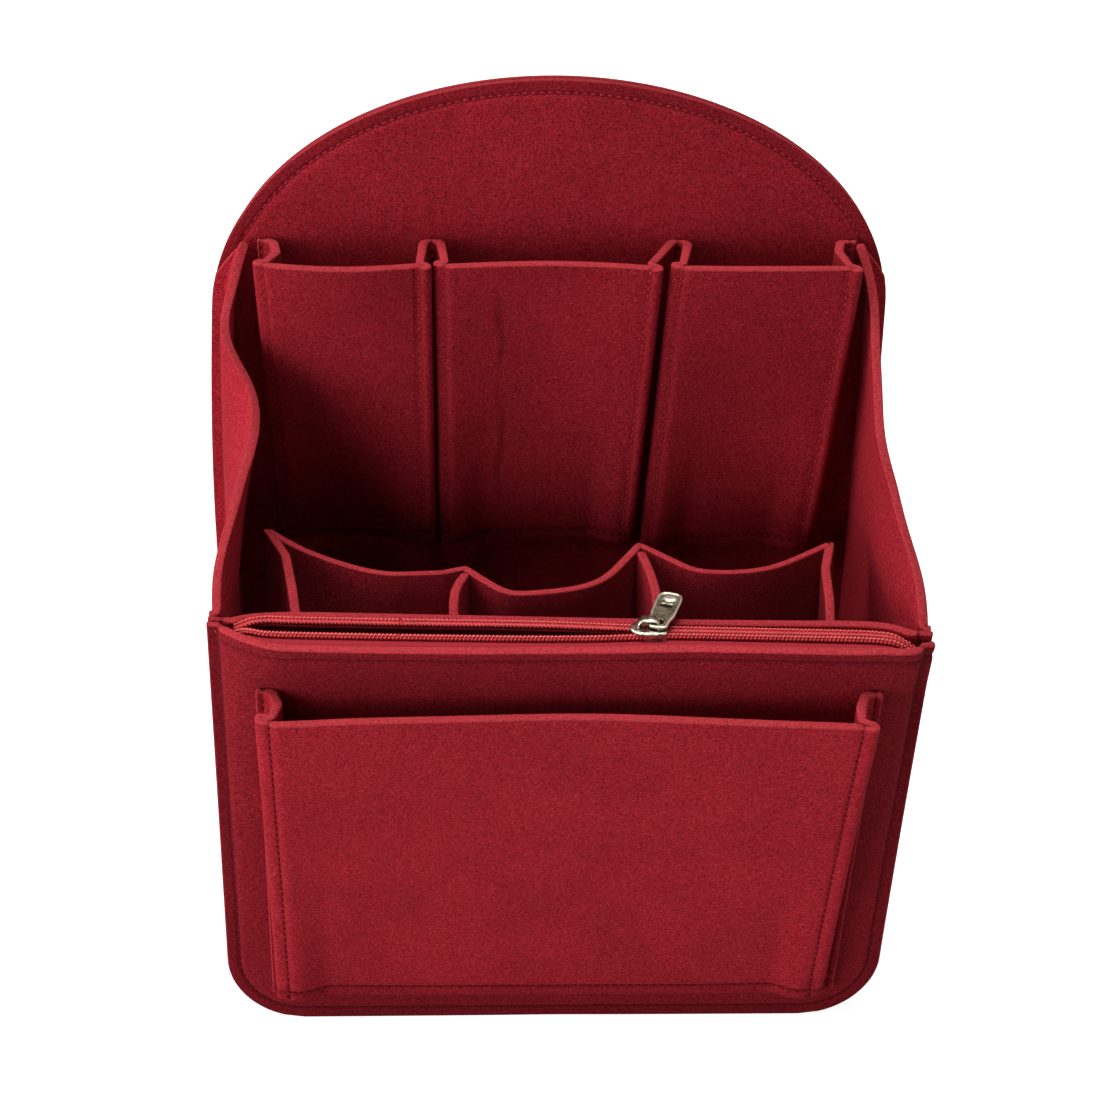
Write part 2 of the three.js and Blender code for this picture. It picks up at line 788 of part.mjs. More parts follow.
// The tab lies along X from the eye's centre, in its own flat frame
function pullTab() {
  const near = -tab_eye_radius - tab_eye_margin;
  const far = near + tab_length;
  const neck = near + tab_neck_length;
  const slim = tab_neck_width / 2;
  const wide = tab_width / 2;
  const shape = new THREE.Shape();
  shape.moveTo(near, -slim + tab_corner);
  shape.quadraticCurveTo(near, -slim, near + tab_corner, -slim);
  shape.lineTo(neck, -slim);
  shape.lineTo(neck + tab_corner, -wide);
  shape.lineTo(far - tab_corner, -wide);
  shape.quadraticCurveTo(far, -wide, far, -wide + tab_corner);
  shape.lineTo(far, wide - tab_corner);
  shape.quadraticCurveTo(far, wide, far - tab_corner, wide);
  shape.lineTo(neck + tab_corner, wide);
  shape.lineTo(neck, slim);
  shape.lineTo(near + tab_corner, slim);
  shape.quadraticCurveTo(near, slim, near, slim - tab_corner);
  const hole = new THREE.Path();
  hole.absarc(0, 0, tab_eye_radius, 0, 2 * Math.PI, true);
  shape.holes.push(hole);
  return extrudeUp(shape, -tab_thickness / 2, tab_thickness / 2);
}

// Finishes
const felt_colour = 0x8c1c2a;
const zip_colour = 0xa3242f;
const nickel_colour = 0xc9c6bd;

function piece(name, geometry, color, roughness, metalness) {
  const material = new THREE.MeshStandardMaterial({ color, roughness, metalness });
  const mesh = new THREE.Mesh(geometry, material);
  mesh.name = name;
  return mesh;
}

const felt = (name, geometry) => piece(name, geometry, felt_colour, 0.95, 0);
const nylon = (name, geometry) => piece(name, geometry, zip_colour, 0.5, 0);
const nickel = (name, geometry) => piece(name, geometry, nickel_colour, 0.25, 1);

const insert = new THREE.Group();
insert.add(felt('back_panel_inner', archPanel(0)));
insert.add(felt('back_panel_outer', archPanel(1)));
insert.add(felt('front_panel', wallPanel(frontFace)));
insert.add(felt('zip_pocket_wall', wallPanel(wallFace)));
insert.add(felt('gusset', gusset()));
insert.add(felt('front_pocket', pleatedStrip(
  frontPocketCorners, frontPocketPlace, front_pocket_bottom, front_pocket_top, pocket_levels,
)));
insert.add(felt('back_pocket_strip', pleatedStrip(
  backPocketCorners, backPocketPlace, back_pocket_bottom, back_pocket_top, pocket_levels,
)));
insert.add(felt('inner_pocket_strip', pleatedStrip(
  innerPocketCorners, innerPocketPlace, inner_pocket_bottom, inner_pocket_top, pocket_levels,
)));

const divider_bottom = lerp(inner_pocket_bottom, inner_pocket_top, divider_bottom_share);
const addDivider = (name, corners) => insert.add(felt(name, pleatedStrip(
  corners, innerPocketPlace, divider_bottom, inner_pocket_top, pocket_levels,
)));
addDivider('left_inner_divider', dividerCorners(
  left_divider_foot, left_divider_bow, inner_middle_x_shares[0] * inner_pocket_half_width,
  inner_middle_depth_shares[0], left_divider_end_gap, -1,
));
addDivider('right_inner_divider', dividerCorners(
  right_divider_foot, right_divider_bow, inner_right_x_shares[0] * inner_pocket_half_width,
  inner_right_depth_shares[0], right_divider_end_gap, 1,
));

insert.add(nylon('zip_tape_front', zipTape(-1)));
insert.add(nylon('zip_tape_rear', zipTape(1)));
insert.add(nylon('zip_coil_front', zipCoil(-1)));
insert.add(nylon('zip_coil_rear', zipCoil(1)));

// The slider stands on the settled chain, in line with it
const slider = new THREE.Group();
slider.position.copy(settle(slider_x, chainCentre(slider_x), chain_z));
const chain_lean = (front_lean_right - front_lean_left) / body_width;
slider.rotation.z = -Math.atan(chain_lean * (chain_z / front_height) ** lean_exponent);
slider.add(nickel('slider_body', sliderBody()));
slider.add(nickel('slider_bail', sliderBail()));
const tab = nickel('pull_tab', pullTab());
const tab_height = slider_top + seam_gap + (bail_height - bail_bar) / 2;
tab.position.set(bail_length / 2 - bail_leg / 2, 0, tab_height);
tab.rotation.order = 'ZYX';
tab.rotation.z = THREE.MathUtils.degToRad(tab_turn_degrees);
tab.rotation.y = -THREE.MathUtils.degToRad(tab_tilt_degrees);
slider.add(tab);
insert.add(slider);

// The origin is under the middle of the whole insert's box
insert.updateMatrixWorld(true);
const middle = new THREE.Box3().setFromObject(insert, true).getCenter(new THREE.Vector3());
insert.position.set(-middle.x, -middle.y, 0);

export default insert;
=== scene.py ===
# %% [markdown]
# # A felt organiser insert
# This lesson builds the looks of a stiff felt insert: a tall arched back, a low front
# wall with a zip, one gusset strip, three sets of pleated pockets and a nickel slider.
# The frame gives each piece's place. Every shape here is a surface worked out with
# numpy, in millimetres, and is turned into metres only when its mesh is made.

# %% The frame comes first
import math
import bpy
import numpy as np
from mathutils import Matrix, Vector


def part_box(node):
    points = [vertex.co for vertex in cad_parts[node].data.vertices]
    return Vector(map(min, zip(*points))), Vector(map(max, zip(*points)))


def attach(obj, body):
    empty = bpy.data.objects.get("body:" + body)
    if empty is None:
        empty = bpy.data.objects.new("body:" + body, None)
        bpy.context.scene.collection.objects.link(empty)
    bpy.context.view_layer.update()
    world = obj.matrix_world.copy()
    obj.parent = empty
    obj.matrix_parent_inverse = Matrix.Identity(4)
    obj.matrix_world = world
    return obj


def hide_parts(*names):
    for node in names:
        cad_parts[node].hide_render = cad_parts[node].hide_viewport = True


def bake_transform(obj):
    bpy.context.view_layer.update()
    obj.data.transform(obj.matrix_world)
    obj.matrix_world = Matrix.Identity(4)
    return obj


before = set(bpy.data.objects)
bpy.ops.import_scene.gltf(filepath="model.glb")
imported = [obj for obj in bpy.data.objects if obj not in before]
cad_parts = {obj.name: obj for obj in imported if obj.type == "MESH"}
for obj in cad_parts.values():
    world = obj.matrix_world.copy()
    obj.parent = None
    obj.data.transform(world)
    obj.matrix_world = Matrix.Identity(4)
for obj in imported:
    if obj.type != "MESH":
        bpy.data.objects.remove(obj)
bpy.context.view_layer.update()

scene = bpy.context.scene

# %% [markdown]
# ## Sizes
# The insert is cut from one roll of felt, so one thickness and one seam gap rule all
# its layers. The outline is 260 mm wide. The front wall is 188 mm tall, and the back
# goes on to 352 mm in a half ellipse.

# %% Sizes in millimetres
MM = 0.001
BODY_WIDTH, BODY_DEPTH = 260.0, 115.0
BACK_HEIGHT, ARCH_START, FRONT_HEIGHT = 352.0, 264.0, 188.0
CORNER_RADIUS = 30.0
GUSSET_BACK_HEIGHT = 289.0
FELT = 3.5
SEAM_GAP = 0.3
LIP = 5.0
HALF_WIDTH = BODY_WIDTH / 2
HALF_FELT = FELT / 2
FRONT_FACE, BACK_FACE = -BODY_DEPTH / 2, BODY_DEPTH / 2
LAYER = FELT + SEAM_GAP
LAYER_BASE = SEAM_GAP + HALF_FELT
SWELL_LEFT, SWELL_RIGHT, SWELL_TOP = 8.5, 1.5, 300.0

# The shapes are worked out about the middle of the bag's seams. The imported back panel
# says where that middle lies in the frame.
panel_low, panel_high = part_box("back_panel_inner")
MIDDLE = np.array([
    (panel_low[0] + panel_high[0]) / 2 / MM + (SWELL_LEFT - SWELL_RIGHT) / 2,
    panel_low[1] / MM - BACK_FACE,
    0.0,
])
print("middle of the seams in the frame, mm:", MIDDLE.round(2))

# %% [markdown]
# ## How the front wall stands
# A felt bag never stands square. Its front wall leans out, more at the right than at
# the left, and the two layers of the zip pocket bow apart. One function leans every
# point. The front panel bows forward and the zip pocket wall bows back, each by a
# function of its own. Every piece of the front goes through them, so the layers
# can't cross.

# %% Lean and bulge
LEAN_LEFT, LEAN_RIGHT, TOP_SHIFT, LEAN_EXPONENT = 5.5, 17.5, 4.0, 1.3
FRONT_BULGE, FRONT_FLAT = 9.5, 4.0
WALL_BULGE, WALL_FLAT = 6.5, 9.0
SIDE_EXPONENT, RISE_EXPONENT = 18, 1.5
PUSH_START = 166.0
PUSH_PLACES = [-130, -119, -112, -105, -98, -62, -45, -27, -9, 9, 23, 45, 112, 116, 120, 124,
               128, 130]
PUSHES = [0, 0.2, 1.9, 3.8, 4.1, 3.9, 3.5, 2.9, 2.3, 2.0, 1.2, 0.2, 0.2, 1.3, 2.6, 3.0, 1.2, 0]
ROUNDING = 3.0


def mix(low, high, share):
    """low where share is 0, high where it is 1, and a straight line between."""
    return low + (high - low) * share


def ease(value, low, high):
    """0 below low, 1 above high, and 3t^2 - 2t^3 between them."""
    t = np.clip((value - low) / (high - low), 0, 1)
    return t * t * (3 - 2 * t)


def stack(x, y, z):
    """Three arrays, stretched to one shape, as one array of points."""
    return np.stack(np.broadcast_arrays(x, y, z), axis=-1).astype(float)


def settle(points):
    """Leans the front out: y less lean(x) times (z / height)^1.3, fading to 0 at the back,
    with a small shift in x that fades in the same way."""
    x, y, z = points[..., 0], points[..., 1], points[..., 2]
    fade = np.clip((BACK_FACE - y) / (BODY_DEPTH - 3 * LAYER), 0, 1)
    rise = np.clip(z / FRONT_HEIGHT, 0, 1)
    side = np.clip((x + HALF_WIDTH) / BODY_WIDTH, 0, 1)
    lean = mix(LEAN_LEFT, LEAN_RIGHT, side) * rise ** LEAN_EXPONENT
    return stack(x + TOP_SHIFT * rise * fade, y - lean * fade, z)


def inset_from_edge(x, z):
    """Distance in from the front wall's outline: straight sides, and arcs at the corners."""
    across = np.abs(x) - (HALF_WIDTH - CORNER_RADIUS)
    straight = np.minimum(HALF_WIDTH - np.abs(x), z)
    arc = CORNER_RADIUS - np.hypot(np.maximum(across, 0), CORNER_RADIUS - z)
    return np.where((across > 0) & (z < CORNER_RADIUS), arc, straight)


def bulge_share(x, z, flat):
    """(1 - (1 - across)^18) times (z / height)^1.5, with across from the seam to the middle."""
    across = np.clip((inset_from_edge(x, z) - flat) / (HALF_WIDTH - flat), 0, 1)
    rise = np.clip(z / FRONT_HEIGHT, 0, 1) ** RISE_EXPONENT
    return (1 - (1 - across) ** SIDE_EXPONENT) * rise


def read_between(x, places, values):
    """Values at listed places, read between them and rounded over 6 mm."""
    near, here, far = (np.interp(x + move, places, values)
                       for move in (-ROUNDING, 0, ROUNDING))
    return (near + 2 * here + far) / 4


def front_face(x, z):
    """y of the front panel's outer face, before the lean: the bulge, and at the top edge
    the felt that the open zip lets come forward."""
    push = read_between(x, PUSH_PLACES, PUSHES) * ease(z, PUSH_START, FRONT_HEIGHT)
    return FRONT_FACE - FRONT_BULGE * bulge_share(x, z, FRONT_FLAT) - push


def wall_face(x, z):
    """y of the zip pocket wall's front face, before the lean."""
    return FRONT_FACE + LAYER + WALL_BULGE * bulge_share(x, z, WALL_FLAT)


# %% [markdown]
# ## The camera
# The photograph looks down at the bag from the front, from about 0.9 m away, with a
# long lens. The camera's place and turn are given here in real units.

# %% Camera
IMAGE_SIZE = 1100
CAMERA_PLACE = np.array([-20.08, -695.10, 565.65])
CAMERA_PITCH, CAMERA_YAW, CAMERA_ROLL = 0.50199, 0.026687, 0.011425
FOCAL_PIXELS = 2050
SENSOR_WIDTH = 36.0


def camera_axes(pitch, yaw, roll):
    """Right, up and back of a camera that is turned by yaw, tipped down and then rolled."""
    forward = np.array([
        math.sin(yaw) * math.cos(pitch), math.cos(yaw) * math.cos(pitch), -math.sin(pitch),
    ])
    right = np.array([math.cos(yaw), -math.sin(yaw), 0.0])
    up = np.cross(right, forward)
    rolled_right = right * math.cos(roll) + up * math.sin(roll)
    rolled_up = up * math.cos(roll) - right * math.sin(roll)
    return rolled_right, rolled_up, -forward


def place_object(thing, axes, place):
    """Turns an object to its own three axes and puts it at a place in mm."""
    matrix = np.eye(4)
    matrix[:3, :3] = np.stack(axes, axis=1)
    matrix[:3, 3] = np.array(place) * MM
    thing.matrix_world = Matrix(matrix.tolist())


camera_data = bpy.data.cameras.new("camera")
camera_data.sensor_width = SENSOR_WIDTH
camera_data.lens = FOCAL_PIXELS * SENSOR_WIDTH / IMAGE_SIZE
camera = bpy.data.objects.new("camera", camera_data)
scene.collection.objects.link(camera)
scene.camera = camera
place_object(camera, camera_axes(CAMERA_PITCH, CAMERA_YAW, CAMERA_ROLL),
             CAMERA_PLACE + MIDDLE)
print("camera lens, mm:", round(camera_data.lens, 2))


# %% [markdown]
# ## Nodes and meshes
# A colour is written as a hex code and turned into linear light in one place. A
# material is put together node by node. A mesh comes from two arrays: its points in
# mm, and four corner numbers for each face.

# %% Colours and nodes
def srgb(code):
    """A hex colour as linear red, green, blue and alpha: the sRGB curve, undone."""
    shares = np.array([int(code[k:k + 2], 16) for k in (1, 3, 5)]) / 255
    linear = np.where(shares <= 0.04045, shares / 12.92, ((shares + 0.055) / 1.055) ** 2.4)
    return (*linear.tolist(), 1.0)


def new_material(name):
    """A node material without any node, and its tree."""
    material = bpy.data.materials.new(name)
    material.use_nodes = True
    material.node_tree.nodes.clear()
    return material, material.node_tree


def add_node(tree, kind, sockets=None, stops=(), **settings):
    """A node with its settings; a socket is given a value, or another node's output. stops
    are the places and colours of a colour ramp."""
    node = tree.nodes.new("ShaderNode" + kind)
    for name, value in settings.items():
        setattr(node, name, value)
    for k, (place, code) in enumerate(stops):
        node.color_ramp.elements[k].position = place
        node.color_ramp.elements[k].color = srgb(code)
    for name, value in (sockets or {}).items():
        if isinstance(value, bpy.types.NodeSocket):
            tree.links.new(value, node.inputs[name])
        else:
            node.inputs[name].default_value = value
    return node


# %% Mesh from arrays
def grid_quads(rows, columns, start=0):
    """Corner numbers of the cells of a grid of points that are stored row by row."""
    at = start + np.arange(rows * columns).reshape(rows, columns)
    cells = [at[:-1, :-1], at[:-1, 1:], at[1:, 1:], at[1:, :-1]]
    return np.stack(cells, axis=-1).reshape(-1, 4)


def new_mesh(name, points, quads, material, attributes=None, uv=None):
    """A smooth mesh object at the origin, from points in mm and four corners a face."""
    mesh = bpy.data.meshes.new(name)
    mesh.vertices.add(len(points))
    mesh.vertices.foreach_set("co", ((points + MIDDLE) * MM).astype(np.float32).ravel())
    mesh.loops.add(quads.size)
    mesh.loops.foreach_set("vertex_index", quads.astype(np.int32).ravel())
    mesh.polygons.add(len(quads))
    mesh.polygons.foreach_set("loop_start", np.arange(0, quads.size, 4, dtype=np.int32))
    mesh.polygons.foreach_set("use_smooth", np.ones(len(quads), dtype=bool))
    for key, values in (attributes or {}).items():
        attribute = mesh.attributes.new(key, "FLOAT", "POINT")
        attribute.data.foreach_set("value", values.astype(np.float32).ravel())
    if uv is not None:
        layer = mesh.uv_layers.new(name="UVMap")
        layer.data.foreach_set("uv", uv[quads.ravel()].astype(np.float32).ravel())
    mesh.update(calc_edges=True)
    mesh.validate()
    piece = bpy.data.objects.new(name, mesh)
    scene.collection.objects.link(piece)
    mesh.materials.append(material)
    return piece


# %% [markdown]
# ## Floor, world and lamps
# The floor and the world are white to the camera and in reflections. As light on the
# object, the floor is a matt grey and the world is nearly dark, so the lamps do the
# lighting. The two strongest stand low at the left and straight above, and weaker ones
# keep the other sides from going dark.

# %% Floor and world
FLOOR_SIZE, FLOOR_HEIGHT = 6000.0, -0.1
FLOOR_GREY = "#C8C8C8"
LIFT_NEAR, LIFT_FAR = 0.88, 1.0
SHADOW_REACH, FADE_REACH = 450.0, 1100.0
WORLD_LIGHT, WORLD_WHITE = 0.02, 1.0
WHITE = (1, 1, 1, 1)


def seen_white(tree):
    """1 for the rays that have to find white: camera, glossy and transmission rays."""
    ray = add_node(tree, "LightPath")
    seen = ray.outputs["Is Camera Ray"]
    for other in ("Is Glossy Ray", "Is Transmission Ray"):
        seen = add_node(tree, "Math", {0: seen, 1: ray.outputs[other]},
                        operation="MAXIMUM").outputs[0]
    return seen


def studio_material():
    """Pale matt floor that lets the lamps' shadow show, lifted to white for the camera.

    The lift grows with the distance from the object, so that the far floor, where the
    lamps reach less, leaves no grey band at the horizon.
    """
    material, tree = new_material("studio_white")
    matt = add_node(tree, "BsdfDiffuse", {"Color": srgb(FLOOR_GREY)})
    place = add_node(tree, "TexCoord").outputs["Object"]
    reach = add_node(tree, "VectorMath", {0: place}, operation="LENGTH")
    strength = add_node(tree, "MapRange", {
        "Value": reach.outputs["Value"], "From Min": SHADOW_REACH * MM,
        "From Max": FADE_REACH * MM, "To Min": LIFT_NEAR, "To Max": LIFT_FAR})
    lift = add_node(tree, "Emission", {"Color": WHITE, "Strength": strength.outputs["Result"]})
    both = add_node(tree, "AddShader", {0: matt.outputs[0], 1: lift.outputs[0]})
    choice = add_node(tree, "MixShader", {0: seen_white(tree), 1: matt.outputs[0],
                                          2: both.outputs[0]})
    add_node(tree, "OutputMaterial", {"Surface": choice.outputs[0]})
    return material


def studio_world():
    """White seen directly or in metal, and a dim even grey as light on the object."""
    scene.world = bpy.data.worlds.new("studio_world")
    scene.world.use_nodes = True
    tree = scene.world.node_tree
    tree.nodes.clear()
    dim = add_node(tree, "Background", {"Color": WHITE, "Strength": WORLD_LIGHT})
    white = add_node(tree, "Background", {"Color": WHITE, "Strength": WORLD_WHITE})
    choice = add_node(tree, "MixShader", {0: seen_white(tree), 1: dim.outputs[0],
                                          2: white.outputs[0]})
    add_node(tree, "OutputWorld", {"Surface": choice.outputs[0]})


floor_corners = FLOOR_SIZE * stack([-1, 1, -1, 1], [-1, -1, 1, 1], 0)
floor_corners[:, 2] = FLOOR_HEIGHT
floor = new_mesh("studio_floor", floor_corners, grid_quads(2, 2), studio_material())
studio_world()
print("floor and world made")

# %% Lamps
BAG_MIDDLE = (0.0, 0.0, 150.0)
LAMPS = (
    ("key_lamp", (-1300, -1200, 120), 1100, 31),
    ("side_lamp", (-1700, -100, 600), 1100, 8),
    ("high_lamp", (-1150, -350, 1150), 900, 8),
    ("front_lamp", (300, -1500, 40), 900, 1.5),
    ("right_lamp", (1600, -250, 100), 900, 5),
    ("back_lamp", (500, 1700, 120), 1100, 12),
    ("top_lamp", (0, 100, 1900), 900, 31),
)


def soft_lamp(name, place, size, power):
    """A square area lamp, in mm and watts, that faces the middle of the bag."""
    data = bpy.data.lights.new(name, "AREA")
    data.size = size * MM
    data.energy = power
    lamp = bpy.data.objects.new(name, data)
    scene.collection.objects.link(lamp)
    back = np.array(place) - np.array(BAG_MIDDLE)
    back /= np.linalg.norm(back)
    side = np.cross([0.0, 0.0, 1.0], back)
    side /= np.linalg.norm(side)
    place_object(lamp, [side, np.cross(back, side), back], place)


for lamp_row in LAMPS:
    soft_lamp(*lamp_row)
scene.view_settings.view_transform = "Standard"
print("lamps:", len(LAMPS))

# %% [markdown]
# ## Felt
# Needle-punched wool and polyester felt is a mat of crossing fibres. Close up it is
# heathered: dark and light fibres lie in every direction over a mottled ground. A cut
# edge is paler, because the cut ends scatter light. Real fibres are finer than the
# image shows, so they are drawn about three times as thick as they are. Painted shade
# darkens the seam grooves, the border outside the outline seam, the crease and the
# pieces that lie in shade, and the cut edges get painted light and shade by piece.

# %% Felt material
FELT_GROUND = ((0.38, "#660A13"), (0.58, "#9C1826"))
FELT_LIGHT, FELT_SHEEN = "#CC414C", "#D4404A"
# The cut edges' pale colour, and the painted shade laid into the seam grooves.
FELT_CUT, FELT_PAINTED_GROOVE_SHADE = "#AA3C40", "#36060C"
# Painted shade for each piece: pieces deep in the bag, such as the inner pockets, are painted
# darker, and the lit gusset and front pocket a little lighter.
PIECE_PAINTED_SHADES = {
    "back_panel_inner": 0.9, "back_panel_outer": 0.9, "front_panel": 0.68,
    "front_pocket": 1.02, "back_pocket_strip": 0.86, "inner_pocket_strip": 0.5,
    "left_inner_divider": 0.85, "right_inner_divider": 0.85, "gusset": 1.05,
}
# Painted light and shade on cut edges, darker on most pieces and lighter on the front panel's lit
# top edge, then the strength of the painted shade along the crease.
CUT_EDGE_PAINTED_SHADE, CREASE_PAINTED_SHADE = 0.97, 0.32
CUT_EDGE_PAINTED_LIGHT_AND_SHADE = {"front_panel": 1.16, "zip_pocket_wall": 1.0, "front_pocket": 1.03}
SEAM_CORE, SEAM_HALF_WIDTH = 0.25, 1.1
# Seam constants: the share for a second seam, the strength of the painted shade in the grooves,
# and the bump's sink.
SECOND_SEAM, SEAM_PAINTED_SHADE, SEAM_SINK = 0.6, 0.5, -1.2
# Painted shade on the border strip outside the outline seam: how dark, and where it starts and
# ends.
OUTSIDE_PAINTED_SHADE, OUTSIDE_START, OUTSIDE_END = 0.2, -1.2, -0.2
FIBRE_LENGTH, FIBRE_WIDTH = 2.4, 0.32
FIBRE_TURNS = ((0.3, 0.2, 0.4), (0.9, 1.2, -0.7), (-0.5, 0.8, 1.6))
FIBRE_START, FIBRE_END, FIBRE_SHARE = 0.56, 0.74, 0.75
NOISE_LOW, NOISE_HIGH = 0.3, 0.7
MOTTLE_SIZE, CLOUD_SIZE, NAP_DEPTH = 0.75, 28.0, 0.3
CLOUD_DARKER, CLOUD_LIGHTER = 0.92, 1.06
MOTTLE_LOW, MOTTLE_HIGH, CUT_LEAST, CUT_MOST = 0.35, 0.65, 0.15, 0.7


def fibre_layer(tree, place, turns):
    """Noise stretched to the length and width of a fibre and turned one way."""
    scale = (1 / (FIBRE_LENGTH * MM), 1 / (FIBRE_WIDTH * MM), 1 / (FIBRE_WIDTH * MM))
    turned = add_node(tree, "Mapping", {"Vector": place, "Rotation": turns})
    stretched = add_node(tree, "Mapping", {"Vector": turned.outputs[0], "Scale": scale})
    noise = add_node(tree, "TexNoise", {"Vector": stretched.outputs[0], "Scale": 1.0,
                                        "Detail": 1.0, "Roughness": 0.5})
    return noise.outputs["Fac"]


def seam_share(tree, name):
    """1 on the line of a seam and 0 away from it, from the distance kept on the mesh."""
    read = add_node(tree, "Attribute", attribute_name=name)
    off = add_node(tree, "Math", {0: read.outputs["Fac"]}, operation="ABSOLUTE")
    return add_node(tree, "MapRange", {"Value": off.outputs[0], "From Min": SEAM_CORE,
                                       "From Max": SEAM_HALF_WIDTH, "To Min": 1.0,
                                       "To Max": 0.0}).outputs[0]


def felt_material():
    """Heathered matt felt with a soft nap, grooves at seams and pale cut edges."""
    material, tree = new_material("needled_wool_felt")
    place = add_node(tree, "TexCoord").outputs["Object"]
    mottle = add_node(tree, "TexNoise", {"Vector": place, "Scale": 1 / (MOTTLE_SIZE * MM),
                                         "Detail": 3.0, "Roughness": 0.65})
    cloud = add_node(tree, "TexNoise", {"Vector": place, "Scale": 1 / (CLOUD_SIZE * MM),
                                        "Detail": 2.0, "Roughness": 0.5})
    light, *others = [fibre_layer(tree, place, turns) for turns in FIBRE_TURNS]
    for other in others:
        light = add_node(tree, "Math", {0: light, 1: other}, operation="MAXIMUM").outputs[0]
    ground = add_node(tree, "ValToRGB", {"Fac": mottle.outputs["Fac"]}, FELT_GROUND)
    shown = add_node(tree, "MapRange", {"Value": light, "From Min": FIBRE_START,
                                        "From Max": FIBRE_END, "To Min": 0.0,
                                        "To Max": FIBRE_SHARE})
    haired = add_node(tree, "Mix", {0: shown.outputs[0], 6: ground.outputs[0],
                                    7: srgb(FELT_LIGHT)}, data_type="RGBA")
    tone = add_node(tree, "MapRange", {
        "Value": cloud.outputs["Fac"], "From Min": NOISE_LOW, "From Max": NOISE_HIGH,
        "To Min": CLOUD_DARKER, "To Max": CLOUD_LIGHTER})
    toned = add_node(tree, "HueSaturation", {"Color": haired.outputs[2],
                                             "Value": tone.outputs[0]})
    cut = add_node(tree, "Attribute", attribute_name="cut")
    ends = add_node(tree, "MapRange", {
        "Value": mottle.outputs["Fac"], "From Min": MOTTLE_LOW, "From Max": MOTTLE_HIGH,
        "To Min": CUT_LEAST, "To Max": CUT_MOST})
    paled = add_node(tree, "Math", {0: cut.outputs["Fac"], 1: ends.outputs[0]},
                     operation="MULTIPLY")
    edged = add_node(tree, "Mix", {0: paled.outputs[0], 6: toned.outputs[0],
                                   7: srgb(FELT_CUT)}, data_type="RGBA")
    second = seam_share(tree, "seam_two")
    fainter = add_node(tree, "Math", {0: second, 1: SECOND_SEAM}, operation="MULTIPLY")
    seam = add_node(tree, "Math", {0: seam_share(tree, "seam_one"), 1: fainter.outputs[0]},
                    operation="MAXIMUM")
    # Painted shade in the seam grooves: the colour goes towards a dark red along each seam.
    depth = add_node(tree, "Math", {0: seam.outputs[0], 1: SEAM_PAINTED_SHADE}, operation="MULTIPLY")
    sewn = add_node(tree, "Mix", {0: depth.outputs[0], 6: edged.outputs[2],
                                  7: srgb(FELT_PAINTED_GROOVE_SHADE)}, data_type="RGBA")
    # Painted shade on the border strip outside the outline seam.
    side = add_node(tree, "Attribute", attribute_name="seam_one")
    outside = add_node(tree, "MapRange", {
        "Value": side.outputs["Fac"], "From Min": OUTSIDE_START, "From Max": OUTSIDE_END,
        "To Min": 1 - OUTSIDE_PAINTED_SHADE, "To Max": 1.0})
    # The painted shade of each piece, of its cut edges and along its crease, kept on the mesh.
    roll = add_node(tree, "Attribute", attribute_name="painted_shade")
    value = add_node(tree, "Math", {0: outside.outputs[0], 1: roll.outputs["Fac"]},
                     operation="MULTIPLY")
    shaded = add_node(tree, "HueSaturation", {"Color": sewn.outputs[2],
                                              "Value": value.outputs[0]})
    grain = add_node(tree, "Math", {0: mottle.outputs["Fac"], 1: light}, operation="ADD")
    sunk = add_node(tree, "Math", {0: seam.outputs[0], 1: SEAM_SINK, 2: grain.outputs[0]},
                    operation="MULTIPLY_ADD")
    bump = add_node(tree, "Bump", {"Height": sunk.outputs[0], "Strength": 0.8,
                                   "Distance": NAP_DEPTH * MM})
    shader = add_node(tree, "BsdfPrincipled", {
        "Base Color": shaded.outputs[0], "Normal": bump.outputs[0], "Roughness": 0.94,
        "Specular IOR Level": 0.06, "Sheen Weight": 0.08, "Sheen Roughness": 0.5,
        "Sheen Tint": srgb(FELT_SHEEN),
    })
    add_node(tree, "OutputMaterial", {"Surface": shader.outputs[0]})
    return material


FELT_FINISH = felt_material()
print("felt material nodes:", len(FELT_FINISH.node_tree.nodes))

# %% [markdown]
# ## A sheet of felt
# Every felt piece is one sheet of even thickness round a middle surface. Its two faces
# are the middle moved out along the normals, and a soft rim goes round the cut edge.
# With the middle as a grid of points, one function makes them all.

# %% Sheet round a middle surface
RIM_RADIUS = 0.7
RIM_TURNS = np.radians([60, 30, 0])
RIM_CROWN = 0.12
LEAST_LENGTH = 1e-9


def unit(vectors):
    """Vectors over their own length, and a vector without length left as it is."""
    length = np.linalg.norm(vectors, axis=-1, keepdims=True)
    return vectors / np.maximum(length, LEAST_LENGTH)


def grid_normals(middle):
    """Unit cross product of the steps along a row and up a column."""
    return unit(np.cross(np.gradient(middle, axis=1), np.gradient(middle, axis=0)))


def outward_steps(middle):
    """At the grid's border, the unit way out of the sheet; at a corner, both ways added."""
    out = np.zeros_like(middle)
    out[0] += unit(middle[0] - middle[1])
    out[-1] += unit(middle[-1] - middle[-2])
    out[:, 0] += unit(middle[:, 0] - middle[:, 1])
    out[:, -1] += unit(middle[:, -1] - middle[:, -2])
    return out


def border(rows, columns):
    """Rows and columns of the points round a grid's border, in one turn."""
    up, along = np.arange(rows), np.arange(columns)
    row = np.concatenate([np.zeros(columns - 1), up[:-1], np.full(columns - 1, rows - 1),
                          up[:0:-1]])
    column = np.concatenate([along[:-1], np.full(rows - 1, columns - 1), along[:0:-1],
                             np.zeros(rows - 1)])
    return row.astype(int), column.astype(int)


